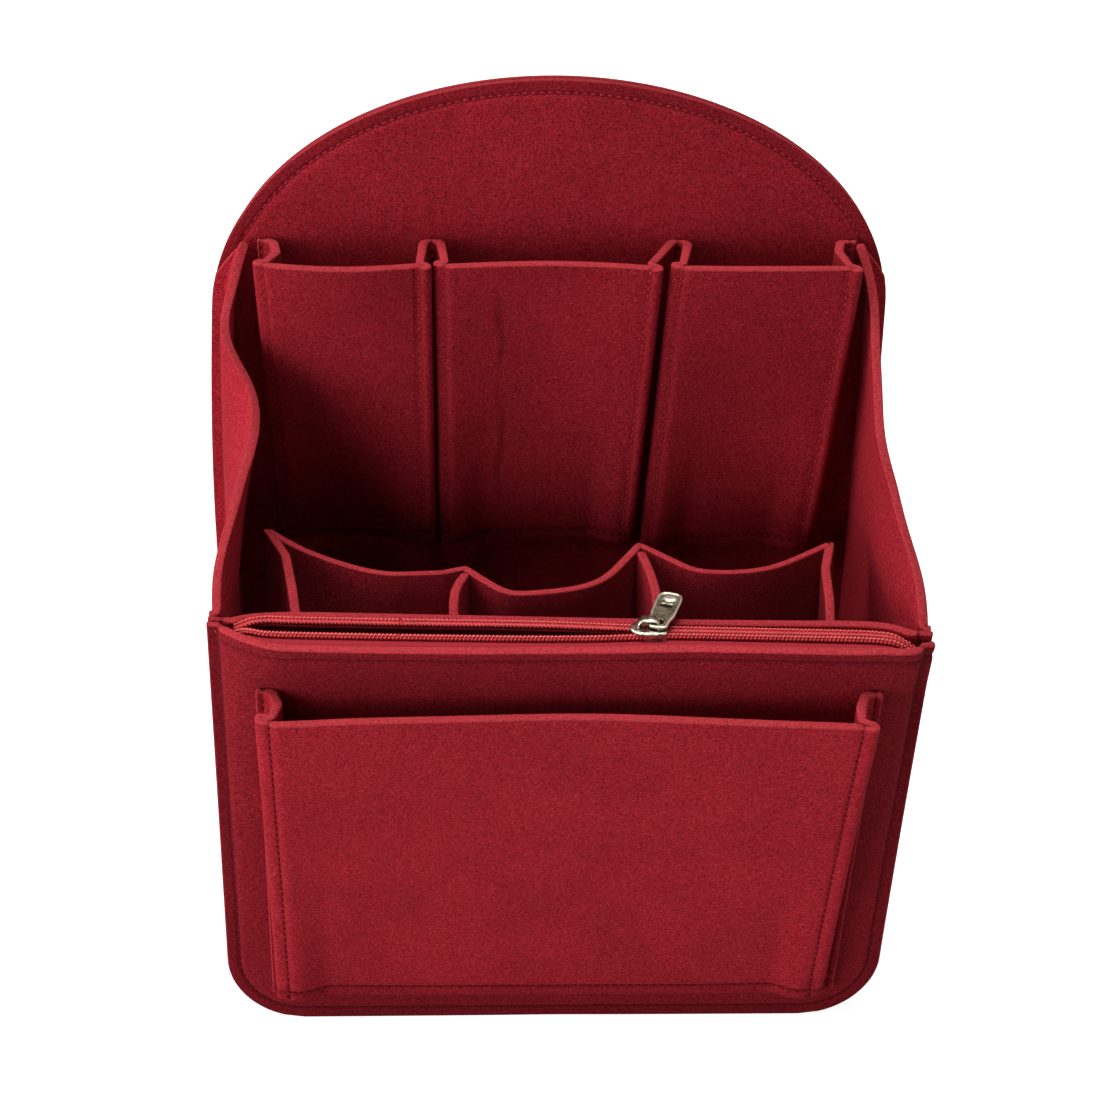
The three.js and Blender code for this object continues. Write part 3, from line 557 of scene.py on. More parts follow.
def sheet_body(middle, thickness=FELT, rim=RIM_RADIUS, pinch=None):
    """Points, faces and cut share of a closed sheet: two faces, and between them a rim whose
    section is two quarter circles and a slightly crowned edge."""
    rows, columns = middle.shape[:2]
    half = np.full((rows, columns, 1), thickness / 2)
    if pinch is not None:
        half = half - np.broadcast_to(pinch, (rows, columns))[..., None]
    normal = grid_normals(middle)
    row, column = border(rows, columns)
    out = outward_steps(middle)[row, column]
    inner = middle.copy()
    inner[row, column] -= rim * out
    faces = [inner + normal * half, inner - normal * half]
    edge, side, half_edge = middle[row, column], normal[row, column], half[row, column]
    loops = []
    for turn_angle in RIM_TURNS:
        move = rim * (math.cos(turn_angle) - 1)
        lift = half_edge - rim * (1 - math.sin(turn_angle))
        loops.append((edge + out * move, side * lift))
    crown = [edge + out * RIM_CROWN * rim]
    ring = [a + b for a, b in loops] + crown + [a - b for a, b in reversed(loops)]
    count = rows * columns
    length = len(row)
    points = np.concatenate([faces[0].reshape(-1, 3), faces[1].reshape(-1, 3), *ring])
    border_at = row * columns + column
    chains = [border_at]
    chains += [2 * count + k * length + np.arange(length) for k in range(len(ring))]
    chains += [count + border_at]
    strips = [
        np.stack([a, b, np.roll(b, -1), np.roll(a, -1)], axis=-1)
        for a, b in zip(chains[:-1], chains[1:])
    ]
    quads = np.concatenate([
        grid_quads(rows, columns), grid_quads(rows, columns, count)[:, ::-1], *strips,
    ])
    cut = np.concatenate([np.zeros(2 * count), np.ones(len(ring) * length)])
    return points, quads, cut


def over_sheet(values, shape, count):
    """Values of a grid for each of the count points of its sheet: once for each face, and
    the border's values for each ring of the rim."""
    values = np.broadcast_to(values, shape)
    rim = values[border(*shape[:2])]
    rings = (count - 2 * shape[0] * shape[1]) // len(rim)
    return np.concatenate([values.reshape(-1, *shape[2:])] * 2 + [rim] * rings)


# %% Steps, lengths and areas
def steps(start, end, coarse=2.2, fine=0.95, band=9.0):
    """Places from start to end, close together in a band at both ends."""
    if end - start < 2 * band + coarse:
        return np.linspace(start, end, int(np.ceil((end - start) / fine)) + 1)
    low = np.arange(start, start + band, fine)
    high = end - (low - start)[::-1]
    count = int(np.ceil((high[0] - low[-1]) / coarse)) + 1
    return np.concatenate([low, np.linspace(low[-1], high[0], count)[1:-1], high])


def line_length(points):
    """Length of a line of points."""
    return float(np.linalg.norm(np.diff(points, axis=0), axis=-1).sum())


# %% A felt piece
SEAM_FAR = 12.0


def felt_piece(name, middle, pinch=None, seams=(), crease=0.0):
    """A felt sheet that stands for the node of its own name. pinch is what each face is
    pressed in, and seams the signed distances from up to two seams. A signed distance
    stays exact between the points of the grid. Each piece and its cut edges get their
    painted light and shade, and crease, the share to which a fold has pressed the felt,
    adds painted shade along the fold."""
    points, quads, cut = sheet_body(middle, pinch=pinch)
    grid = (middle.shape[:2], len(points))
    painted_shade = mix(PIECE_PAINTED_SHADES.get(name, 1.0), CUT_EDGE_PAINTED_LIGHT_AND_SHADE.get(name, CUT_EDGE_PAINTED_SHADE), cut)
    attributes = {"cut": cut, "painted_shade": painted_shade * (1 - CREASE_PAINTED_SHADE * over_sheet(crease, *grid))}
    for key, distance in zip(("seam_one", "seam_two"), [*seams, SEAM_FAR, SEAM_FAR]):
        attributes[key] = over_sheet(np.clip(distance, -SEAM_FAR, SEAM_FAR), *grid)
    piece = new_mesh(name + "_felt", points, quads, FELT_FINISH, attributes)
    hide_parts(name)
    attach(piece, "insert")


# %% [markdown]
# ## Seams sink into felt
# A sewn line pulls both faces in by a few tenths of a millimetre. The sheet is made
# thinner there, in a soft groove, and the thread is laid into the groove later.

# %% Groove along a seam
SEAM_INSET = 5.0
GROOVE_DEPTH, GROOVE_WIDTH = 0.85, 1.15
BORDER_THINNING, BORDER_START, BORDER_END = 0.45, 2.2, 0.2
CREASE_DEPTH = 0.5


def groove(distance):
    """Depth of the groove at a distance from the seam: a bell curve."""
    return GROOVE_DEPTH * np.exp(-(distance / GROOVE_WIDTH) ** 2)


def pressed_border(inset):
    """The strip outside the outline's seam is pressed a little thinner."""
    fade = ease(inset, SEAM_INSET - BORDER_START, SEAM_INSET - BORDER_END)
    return BORDER_THINNING * (1 - fade)


def softness(x, z, height=0.35):
    """Slow uneven waves of hand-cut felt: three crossed sines, 70 to 180 mm long."""
    return height * (
        np.sin(x / 17.0 + 0.6) * np.cos(z / 14.0)
        + 0.7 * np.sin(x / 11.0 - z / 23.0 + 1.9)
        + 0.5 * np.cos(x / 29.0 + z / 12.5)
    )


# %% [markdown]
# ## Back panels
# Two flat layers with one outline, so the arch shows two cut edges with a thin dark
# line between them. Each column of points runs from the bottom curve to the arch.

# %% Back panels
LEAST_SLOPE = 1e-6


def back_swell(z, side_x):
    """How far the sides swell below the arch: a half sine of the height."""
    most = np.where(side_x < 0, SWELL_LEFT, SWELL_RIGHT)
    return most * np.sin(np.pi * np.clip(z / SWELL_TOP, 0, 1))


def swelled(x, z):
    """x of a place on the back panel, moved out by its share of the swell."""
    return x + x * back_swell(z, x) / HALF_WIDTH


def bottom_line(x):
    """Lower outline: flat, then a quarter circle up to each side."""
    across = np.clip(np.abs(x) - (HALF_WIDTH - CORNER_RADIUS), 0, CORNER_RADIUS)
    return CORNER_RADIUS - np.sqrt(CORNER_RADIUS ** 2 - across ** 2)


def arch_line(x):
    """Upper outline: half of an ellipse."""
    share = np.clip(np.abs(x) / HALF_WIDTH, 0, 1)
    return ARCH_START + (BACK_HEIGHT - ARCH_START) * np.sqrt(1 - share ** 2)


def back_inset(x, z):
    """Distance in from the back panel's outline, near enough for a seam."""
    lower = inset_from_edge(x, z)
    wide, tall = HALF_WIDTH, BACK_HEIGHT - ARCH_START
    rise = np.maximum(z - ARCH_START, 0)
    share = np.hypot(x / wide, rise / tall)
    slope = np.hypot(x / wide ** 2, rise / tall ** 2) / np.maximum(share, LEAST_SLOPE)
    upper = (1 - share) / np.maximum(slope, LEAST_SLOPE)
    return np.where(z > ARCH_START, upper, lower)


def back_panel(name, layer):
    """One layer, with the seam's groove all round it."""
    x = steps(-HALF_WIDTH, HALF_WIDTH)
    low, high = bottom_line(x), arch_line(x)
    share = steps(0.0, BACK_HEIGHT) / BACK_HEIGHT
    z = mix(low[None, :], high[None, :], share[:, None])
    x = np.broadcast_to(x, z.shape)
    inset = back_inset(x, z)
    y = BACK_FACE + HALF_FELT + layer * LAYER
    felt_piece(name, stack(swelled(x, z), y, z),
               groove(inset - SEAM_INSET) + pressed_border(inset), [inset - SEAM_INSET])


back_panel("back_panel_inner", 0)
back_panel("back_panel_outer", 1)

# %% [markdown]
# ## Front panel and zip pocket wall
# Both have the front outline: 188 mm tall, with round lower corners. Each row of
# points spans the outline at its own height.

# %% Front wall
ARC_ROWS, FIRST_ROW = 28, 0.9
EDGE_FLARE, EDGE_FLARE_REACH = 0.15, 5.0
DROP_START = 150.0
FRONT_DROPS = ([-130, -112, -105, -27, -9, 9, 45, 112, 120, 124, 128, 130],
               [0.0, 0.8, 1.2, 1.2, 0.9, 0.6, 0.0, 0.0, 0.5, 1.2, 2.0, 1.6])
WALL_DROPS = ([-130, -124, -119, -112, 23, 45, 59, 73, 88, 98, 106, 113, 120, 130],
              [0.0, 0.4, 0.9, 1.5, 1.5, 1.35, 1.2, 1.0, 0.7, 0.4, 0.15, -0.3, -0.5, 0.0])
TOP_SEAM_DROP = 4.6
FREE_REACH, FREE_START, FREE_END = 25, 2, 30


def row_half_width(z):
    """Half the outline's width at a height: less along the corner's quarter circle."""
    rise = np.clip(CORNER_RADIUS - z, 0, CORNER_RADIUS)
    return HALF_WIDTH - CORNER_RADIUS + np.sqrt(CORNER_RADIUS ** 2 - rise ** 2)


def wall_rows():
    """Heights: even turns of the corner's arc, then even steps, close at the top."""
    arc = CORNER_RADIUS * (1 - np.cos(np.linspace(0, np.pi / 2, ARC_ROWS)))
    above = CORNER_RADIUS + steps(0, FRONT_HEIGHT - CORNER_RADIUS)[2:]
    return np.concatenate([[0.0], arc[arc > FIRST_ROW], above])


def hand_cut(x, z, drops):
    """z of a place on a wall whose top edge was cut a little low in places."""
    return z - read_between(x, *drops) * ease(z, DROP_START, FRONT_HEIGHT)


def edge_flare(z):
    """A cut top edge swells on both sides: this much at the edge, and nothing 5 mm down."""
    return EDGE_FLARE * (1 - ease(FRONT_HEIGHT - z, 0, EDGE_FLARE_REACH))


def wall_panel(name, face, wave, drops):
    """A bowed layer of the front wall, with grooves at the outline and the top edge."""
    z = wall_rows()[:, None]
    x = steps(-HALF_WIDTH, HALF_WIDTH)[None, :] / HALF_WIDTH * row_half_width(z)
    z = np.broadcast_to(z, x.shape)
    inset = inset_from_edge(x, z)
    outline, top = inset - SEAM_INSET, FRONT_HEIGHT - z - TOP_SEAM_DROP
    pinch = np.maximum(groove(outline), groove(top)) + pressed_border(inset) - edge_flare(z)
    free = (ease(inset, SEAM_INSET, SEAM_INSET + FREE_REACH)
            * ease(FRONT_HEIGHT - z, FREE_START, FREE_END))
    y = face(x, z) + HALF_FELT + wave * softness(x, z) * free
    middle = settle(stack(x, y, hand_cut(x, z, drops)))
    felt_piece(name, middle,
               pinch, [outline, top])


wall_panel("front_panel", front_face, wave=1.0, drops=FRONT_DROPS)
wall_panel("zip_pocket_wall", wall_face, wave=0.6, drops=WALL_DROPS)

# %% [markdown]
# ## Gusset
# One strip goes up one side, under the bottom and up the other side. Its long edges
# turn outwards as lips, 5 mm wide, which are sewn between the panels. Its two free
# ends slant up to the back, sag into the bag and spring out again. The section is
# lip, bend, wall, bend and lip, and it is carried round the outline.

# %% A smooth curve through values
def spline(values, place):
    """Natural cubic curve through values that stand 1 apart, read at the given places."""
    values = np.asarray(values, float)
    count = len(values)
    system = np.eye(count) * 4
    system[0, 0] = system[-1, -1] = 1
    inside = np.arange(1, count - 1)
    system[inside, inside - 1] = system[inside, inside + 1] = 1
    right = np.zeros(count)
    right[1:-1] = 6 * (values[:-2] - 2 * values[1:-1] + values[2:])
    bends = np.linalg.solve(system, right)
    place = np.clip(place, 0, count - 1)
    low = np.minimum(place.astype(int), count - 2)
    t = place - low
    s = 1 - t
    return (s * values[low] + t * values[low + 1]
            + ((s ** 3 - s) * bends[low] + (t ** 3 - t) * bends[low + 1]) / 6)


# %% Gusset
BEND_RADIUS = 0.5 + HALF_FELT
GUSSET_FRONT = FRONT_FACE + 2 * LAYER + HALF_FELT
GUSSET_BACK = BACK_FACE - LAYER_BASE
WALL_INSET = LIP + HALF_FELT
SAG_LEFT, SAG_RIGHT, SAG_REACH, EDGE_DIP = 13.0, 8.5, 90.0, 4.0
LEFT_SAG_SHARES = [0, 0.0, 0.2, 0.51, 0.88, 0.72, 0.0, 0.05, 0]
RIGHT_SAG_SHARES = [0, -0.16, -0.04, 0.16, 0.46, 0.4, 0.3, 0.12, 0]
CORNER_PULL, CORNER_REACH = 0.6, 0.35
TIP_RISE, TIP_START, LIP_SLANT = 2.0, 0.9, 2.2
LIP_COLUMNS, BEND_COLUMNS, WALL_STEP = 4, 7, 2.0
FALL_LENGTH, FALL_STEPS = 220.0, (2.8, 1.0, 6.0)
TURN_ROWS, BOTTOM_ROWS = 22, 80


def arch_half_width(z):
    """Half the back outline's width at a height: round corner, straight side, ellipse."""
    share = np.clip((z - ARCH_START) / (BACK_HEIGHT - ARCH_START), 0, 1)
    return np.where(z < ARCH_START, row_half_width(z), HALF_WIDTH * np.sqrt(1 - share ** 2))


def gusset_section():
    """Inset from the outline, y, and the share of the way to the back, along the section."""
    lip_in = np.linspace(0, WALL_INSET - BEND_RADIUS, LIP_COLUMNS, endpoint=False)
    turn_out = np.linspace(-np.pi / 2, 0, BEND_COLUMNS)
    centre = WALL_INSET - BEND_RADIUS
    first = GUSSET_FRONT + BEND_RADIUS
    last = GUSSET_BACK - BEND_RADIUS
    wall = np.linspace(first, last, int((last - first) / WALL_STEP))[1:-1]
    inset = np.concatenate([
        lip_in, centre + BEND_RADIUS * np.cos(turn_out), np.full(len(wall), WALL_INSET),
        centre + BEND_RADIUS * np.cos(turn_out[::-1]), lip_in[::-1],
    ])
    y = np.concatenate([
        np.full(len(lip_in), GUSSET_FRONT), first + BEND_RADIUS * np.sin(turn_out), wall,
        last - BEND_RADIUS * np.sin(turn_out[::-1]), np.full(len(lip_in), GUSSET_BACK),
    ])
    return inset, y, np.clip((y - GUSSET_FRONT) / (GUSSET_BACK - GUSSET_FRONT), 0, 1)


def free_edge(share):
    """Height of the gusset's free edge: straight up to the back, less a shallow dip, and
    a little higher at its rear tip."""
    straight = mix(FRONT_HEIGHT, GUSSET_BACK_HEIGHT, share)
    dip = EDGE_DIP * np.sin(np.pi * share) ** 2
    return straight - dip + TIP_RISE * ease(share, TIP_START, 1)


def gusset_side(side, inset, y, share, fall):
    """The wall from the free edge, at fall 0, down to the corner, at fall 1."""
    top = free_edge(share) - LIP_SLANT * (WALL_INSET - inset) * (share > 0.5)
    z = mix(top, CORNER_RADIUS, fall)
    outline = mix(HALF_WIDTH, arch_half_width(z) + back_swell(z, side), share)
    shares = LEFT_SAG_SHARES if side < 0 else RIGHT_SAG_SHARES
    sag = spline(shares, share * (len(shares) - 1)) * (SAG_LEFT if side < 0 else SAG_RIGHT)
    depth = np.clip(1 - (top - z) / SAG_REACH, 0, 1) ** 2
    pull = CORNER_PULL * depth * (1 - ease(share, 0, CORNER_REACH))
    return settle(stack(side * (outline - inset * (1 - pull) - sag * depth), y, z))


def gusset_corner(side, inset, y, share, angle):
    """The quarter turn under the wall, about the outline's corner centre."""
    radius = CORNER_RADIUS - inset
    z = CORNER_RADIUS - radius * np.sin(angle)
    x = HALF_WIDTH - CORNER_RADIUS + radius * np.cos(angle) + share * back_swell(z, side)
    return settle(stack(side * x, y, z))


def gusset_middle():
    """Left wall, left corner, bottom, right corner and right wall, row after row."""
    section = [values[None, :] for values in gusset_section()]
    inset, y, _ = section
    falls = (steps(0.0, FALL_LENGTH, *FALL_STEPS) / FALL_LENGTH)[:-1, None]
    angles = np.linspace(0, np.pi / 2, TURN_ROWS)[:, None]
    across = np.linspace(-1, 1, BOTTOM_ROWS)[1:-1, None] * (HALF_WIDTH - CORNER_RADIUS)
    bottom = settle(stack(across, y, inset + 0 * across))
    return np.concatenate([
        gusset_side(-1, *section, falls), gusset_corner(-1, *section, angles), bottom,
        gusset_corner(1, *section, angles[::-1]), gusset_side(1, *section, falls[::-1]),
    ])


gusset_surface = gusset_middle()
felt_piece("gusset", gusset_surface)

# %% [markdown]
# ## Pleated pockets
# A pocket that stands off its wall is a strip folded in pleats. Its plan path runs
# along the wall, turns out as a return, is pinched into a sewn ridge, and crosses as
# the face. The path is drawn at each height with corners and arcs, and the heights are
# then stacked on the wall that carries the strip.

# %% Plan paths
FOLD_RADIUS = LAYER / 2
FIN_LAYER, FOOT_LAYER, FOOT_RISE = 2.9, 2.3, 0.12
FIN_TIPS = {-1: -1.6, 1: 2.2}
ROOT_PRESSED, FIN_GAP = 0.6, 0.15
FOLDED_DEPTH = 7.0
FLANGE, FOOT_INSET = 6.0, 2.0
ARC_POINTS, RUN_STEP = 7, 1.6
NEARLY_STRAIGHT = np.pi / 2 - 1e-3
FACE_REACH, FACE_RISE = 14, 0.6


def corner(x, depth, radius=0.0, sewn=False, thin=0.0):
    """A corner of a plan path; sewn says that the run after it is stitched to its wall, and
    thin is the share of a fin's pressing that it has."""
    return x, depth, radius, sewn, thin


def rounded_path(corners):
    """Straight runs joined by arcs, at every level at once. An arc is a turn about its
    centre, from the end of one run to the start of the next. Also gives the number of the
    middle point of each sewn run, and each column's share of a fin's pressing."""
    levels = max(np.size(value) for spot in corners for value in spot[:2])
    spots = np.stack([
        np.stack([np.broadcast_to(x, levels), np.broadcast_to(d, levels)], axis=-1)
        for x, d, _, _, _ in corners
    ])
    turns = []
    for k, (_, _, radius, _, _) in enumerate(corners):
        if not np.any(radius):
            turns.append(spots[k][:, None])
            continue
        before, after = spots[k - 1] - spots[k], spots[k + 1] - spots[k]
        room = np.minimum(np.linalg.norm(before, axis=-1), np.linalg.norm(after, axis=-1)) / 2
        before, after = unit(before), unit(after)
        half = np.arccos(np.clip((before * after).sum(-1), -1, 1)) / 2
        half = np.minimum(half, NEARLY_STRAIGHT)
        real = np.minimum(radius, room * np.tan(half))
        start = spots[k] + before * (real / np.tan(half))[:, None]
        end = spots[k] + after * (real / np.tan(half))[:, None]
        centre = spots[k] + unit(before + after) * (real / np.sin(half))[:, None]
        sweep = (np.pi - 2 * half)[:, None, None]
        t = np.linspace(0, 1, ARC_POINTS)[None, :, None]
        turns.append(centre[:, None] + (
            (start - centre)[:, None] * np.sin((1 - t) * sweep)
            + (end - centre)[:, None] * np.sin(t * sweep)) / np.sin(sweep))
    path, seams, count = [turns[0]], [], turns[0].shape[1]
    thin = [np.full(count, corners[0][4])]
    for one, two, now, after in zip(turns[:-1], turns[1:], corners[:-1], corners[1:]):
        start, end = one[:, -1:], two[:, :1]
        length = np.linalg.norm(end - start, axis=-1).max()
        inner = max(int(length / RUN_STEP) - 1, 0) // 2 * 2 + (1 if length > RUN_STEP else 0)
        t = (np.arange(1, inner + 1) / (inner + 1))[None, :, None]
        path += [start + (end - start) * t, two]
        thin += [mix(now[4], after[4], t[0, :, 0]), np.full(two.shape[1], after[4])]
        if now[3]:
            seams.append(count + inner // 2)
        count += inner + two.shape[1]
    return np.concatenate(path, axis=1), seams, np.concatenate(thin)


def fin_layer(rise):
    """Distance between a fin's two layers: pressed harder at the foot."""
    return mix(FOOT_LAYER, FIN_LAYER, ease(rise, 0, FOOT_RISE))


def fin(x, depth, side, rise, width, clear):
    """A corner of the pocket pinched and sewn into a fin: behind the face, round a tight
    fold, and back. side is -1 where the face lies right of the fold. All the fins lean the
    same way, so a fold on the left lies back and one on the right stands forward."""
    layer = fin_layer(rise)
    tip = FIN_TIPS[side] * ease(rise, 0, FOOT_RISE)
    root = (x - side * (width + layer / 2), depth - layer, layer / 2, False, ROOT_PRESSED)
    low = (x, depth - layer + tip, layer / 2, False, 1.0)
    high = (x, depth + tip, layer / 2)
    face = (x - side * (width + layer / 2 + clear), depth)
    if side < 0:
        return [corner(*root), corner(*low), corner(*high, True, 1.0), corner(*face)]
    return [corner(*face, 0, True), corner(*high, False, 1.0), corner(*low), corner(*root)]


def pocket_face(left, right, depth, bow, rise, count):
    """The face between two fins: depth plus bow times a profile. At the foot the profile
    comes in within 14 mm, and at the top it is half a sine."""
    share = np.linspace(0, 1, count + 2)[1:-1]
    near = ease(np.minimum(share, 1 - share) * np.mean(right - left), 0, FACE_REACH)
    arc = np.sin(np.pi * share)
    spread = ease(rise, 0, FACE_RISE)
    return [
        corner(mix(left, right, share[k]), depth + bow * mix(near[k], arc[k], spread))
        for k in range(count)
    ]


# %% Front patch pocket
POCKET_HALF, POCKET_BOTTOM, POCKET_TOP = 108.0, 14.0, 162.0
POCKET_LIFT, POCKET_TILT, POCKET_DEPTH, RETURN_RISE, POCKET_BOW = 2.7, 2.1, 18.0, 4.0, 4.0
POCKET_FOOT = (-108.9, 105.4)
POCKET_MOUTH = (-110.0, 107.6)
POCKET_FIN, POCKET_FIN_CLEAR, POCKET_FACE_POINTS = 3.2, 2.4, 92
RETURN_BULGE, RETURN_MIDDLE, RETURN_RADIUS = 2.4, 0.45, 3.0
SIDE_FREE, FOOT_FREE, WAVE_STRETCH, WAVE_CLEAR = 14, (5, 30), 0.8, 0.5
FOOT_LIFT_PLACES = [-108, -96, -60, 60, 94, 106]
FOOT_LIFTS = [3.0, 2.0, 1.2, 1.2, 2.0, 3.2]


def front_pocket_path(rise):
    """Plan of the patch pocket: folded flat at the bottom seam, 18 mm deep at the top."""
    depth = mix(FOLDED_DEPTH, POCKET_DEPTH, rise)
    bow = -mix(FOLDED_DEPTH - LAYER_BASE, POCKET_BOW, rise)
    left, right = (mix(foot, mouth, rise) for foot, mouth in zip(POCKET_FOOT, POCKET_MOUTH))
    reach = POCKET_FIN + fin_layer(rise) / 2 + POCKET_FIN_CLEAR
    foot = POCKET_HALF - FOOT_INSET
    middle = mix(LAYER_BASE, depth - fin_layer(rise), RETURN_MIDDLE)
    bulge = RETURN_BULGE * rise
    return rounded_path([
        corner(-foot - FLANGE, LAYER_BASE, 0, True), corner(-foot, LAYER_BASE, FOLD_RADIUS),
        corner(-foot + bulge, middle, RETURN_RADIUS),
        *fin(left, depth, -1, rise, POCKET_FIN, POCKET_FIN_CLEAR),
        *pocket_face(left + reach, right - reach, depth, bow, rise, POCKET_FACE_POINTS),
        *fin(right, depth, 1, rise, POCKET_FIN, POCKET_FIN_CLEAR),
        corner(foot - bulge, middle, RETURN_RADIUS),
        corner(foot, LAYER_BASE, FOLD_RADIUS, True), corner(foot + FLANGE, LAYER_BASE),
    ])


def front_pocket_place(path, z):
    """Stands the plan on the front panel: y is the panel's face less the depth."""
    x, d = path[..., 0], path[..., 1]
    across = np.clip(x / POCKET_HALF, -1, 1)
    rise = (z - POCKET_BOTTOM) / (POCKET_TOP - POCKET_BOTTOM)
    root = RETURN_RISE * np.clip(1 - d / POCKET_DEPTH, 0, 1)
    mouth = POCKET_LIFT + POCKET_TILT * across + root
    height = z + mouth * rise + np.interp(x, FOOT_LIFT_PLACES, FOOT_LIFTS) * (1 - rise)
    face = (ease(POCKET_HALF - SIDE_FREE - np.abs(x), 0, SIDE_FREE)
            * ease(z - POCKET_BOTTOM, *FOOT_FREE))
    wave = softness(x * WAVE_STRETCH, height) * face * (d > LAYER_BASE + WAVE_CLEAR)
    return settle(stack(x, front_face(x, height) - d + wave, height))


# %% Strips
BOTTOM_SEAM_RISE = 4.5


def strip_grid(path_at, place, bottom, top):
    """Stacks a plan path over the heights. Gives the surface, the distance above the foot
    seam, how far the fins are pressed in, and the sewn columns."""
    z = steps(bottom, top)
    rise = (z - bottom) / (top - bottom)
    path, seams, thin = path_at(rise)
    levels = np.broadcast_to(z[:, None], path.shape[:2])
    pressed = (FELT + FIN_GAP - fin_layer(rise)[:, None]) / 2 * thin
    return place(path, levels), levels - bottom - BOTTOM_SEAM_RISE, pressed, seams


def column_distance(middle, columns):
    """Distance along each row from the nearest sewn column. Its sign turns at each column
    alone, because every second column counts the other way."""
    along = np.linalg.norm(np.diff(middle, axis=1), axis=-1)
    place = np.concatenate([np.zeros((len(middle), 1)), np.cumsum(along, axis=1)], axis=1)
    away = np.stack([(place - place[:, k:k + 1]) * (-1) ** n for n, k in enumerate(columns)])
    nearest = np.abs(away).argmin(axis=0)
    return np.take_along_axis(away, nearest[None], axis=0)[0]


def strip_piece(name, built, crease=0.0):
    """A pleated strip with grooves at its foot, along its ridges and in its crease."""
    middle, foot, pressed, columns = built
    seams = [foot] + ([column_distance(middle, columns)] if columns else [])
    pinch = np.maximum.reduce([np.broadcast_to(pressed, foot.shape), *map(groove, seams)])
    pinch = np.maximum(pinch, CREASE_DEPTH * crease)
    felt_piece(name, middle, pinch, seams, crease)
    return middle, pinch, columns


front_pocket = strip_grid(front_pocket_path, front_pocket_place, POCKET_BOTTOM, POCKET_TOP)
front_pocket_seams = strip_piece("front_pocket", front_pocket)
print("sewn columns of the front pocket:", len(front_pocket_seams[2]))

# %% Back pockets
BACK_BOTTOM, BACK_TOP, BACK_DEPTH, BACK_HALF = 157.0, 290.0, 27.0, 113.0
LEFT_FOOT_SHIFT, BACK_FOOT_SHIFT = 3.0, 7.0
VALLEY_LEFT, VALLEY_RIGHT, VALLEY_DRIFT = -47.0, 41.0, 6.0
VALLEY_HALF, VALLEY_RADIUS, VALLEY_TOP_SHIFT = 3.2, 3.1, 8.0
END_BULGE_LEFT, END_BULGE_RIGHT, END_FOOT_LEFT = 7.0, 4.5, 5.0
END_MIDDLE_LEFT, END_MIDDLE_RIGHT, END_RADIUS, END_FOOT_RADIUS = 0.55, 0.4, 5.0, 3.4
SLIT_LEFT, SLIT_RIGHT = 0.6, 3.0
BOW_LEFT, BOW_MIDDLE, BOW_RIGHT = 4.0, -3.0, 0.5
BACK_FIN, BACK_FIN_CLEAR = 1.6, 1.6
BACK_FACE_POINTS = (28, 36, 30)
BACK_WAVE, WAVE_SHIFT, WAVE_DEPTH = 0.3, 20, 12
BACK_LIFT_PLACES = [-113, -75, -57, -47, -40, -25, -8, 32, 42, 60, 85, 106]
BACK_LIFTS = [5.0, 4.0, 1.5, 0, 0, 3.0, 3.0, 3.5, 0, 0, 0.5, 0]


def back_pocket_path(rise):
    """Three faces, two valleys sewn to the back panel, and a flange at each end."""
    depth = mix(FOLDED_DEPTH, BACK_DEPTH, rise)
    flat = LAYER_BASE - FOLDED_DEPTH
    fall = 1 - rise
    left, right = -BACK_HALF + fall * LEFT_FOOT_SHIFT, BACK_HALF - fall * BACK_FOOT_SHIFT
    first, second = VALLEY_LEFT, VALLEY_RIGHT - fall * VALLEY_DRIFT
    layer = fin_layer(rise)
    aside_1, aside_2 = (SLIT_LEFT + layer) / 2, (SLIT_RIGHT + layer) / 2
    reach = BACK_FIN + layer / 2 + BACK_FIN_CLEAR
    bows = [mix(flat, bow, rise) for bow in (BOW_LEFT, BOW_MIDDLE, BOW_RIGHT)]
    edges = [(left, first - aside_1), (first + aside_1, second - aside_2),
             (second + aside_2, right)]
    foot = left + mix(FOOT_INSET, END_FOOT_LEFT, rise)
    corners = [corner(foot - FLANGE, LAYER_BASE, 0, True),
               corner(foot, LAYER_BASE, END_FOOT_RADIUS),
               corner(left + mix(FOOT_INSET, END_BULGE_LEFT, rise),
                      mix(LAYER_BASE, depth - layer, END_MIDDLE_LEFT), END_RADIUS)]
    for k, (low, high) in enumerate(edges):
        corners += fin(low, depth, -1, rise, BACK_FIN, BACK_FIN_CLEAR)
        corners += pocket_face(low + reach, high - reach, depth, bows[k], rise,
                               BACK_FACE_POINTS[k])
        corners += fin(high, depth, 1, rise, BACK_FIN, BACK_FIN_CLEAR)
        if k < 2:
            centre = (first, second + VALLEY_TOP_SHIFT * rise)[k]
            corners += [corner(centre - VALLEY_HALF, LAYER_BASE, VALLEY_RADIUS, True),
                        corner(centre + VALLEY_HALF, LAYER_BASE, VALLEY_RADIUS)]
    corners += [corner(right - mix(FOOT_INSET, END_BULGE_RIGHT, rise),
                       mix(LAYER_BASE, depth - layer, END_MIDDLE_RIGHT), END_RADIUS),
                corner(right - FOOT_INSET, LAYER_BASE, FOLD_RADIUS, True),
                corner(right - FOOT_INSET + FLANGE, LAYER_BASE)]
    return rounded_path(corners)


def back_pocket_place(path, z):
    """Stands the plan on the back panel, with a little unevenness in the faces."""
    x, d = path[..., 0], path[..., 1]
    wave = softness(x * WAVE_STRETCH + WAVE_SHIFT, z, BACK_WAVE)
    wave *= ease(z - BACK_BOTTOM, *FOOT_FREE)
    fall = (BACK_TOP - z) / (BACK_TOP - BACK_BOTTOM)
    lift = np.interp(x, BACK_LIFT_PLACES, BACK_LIFTS) * fall
    return settle(stack(x, BACK_FACE - d - wave * (d > WAVE_DEPTH), z + lift))


back_pockets = strip_grid(back_pocket_path, back_pocket_place, BACK_BOTTOM, BACK_TOP)
print("sewn columns of the back pockets:", len(back_pockets[3]))
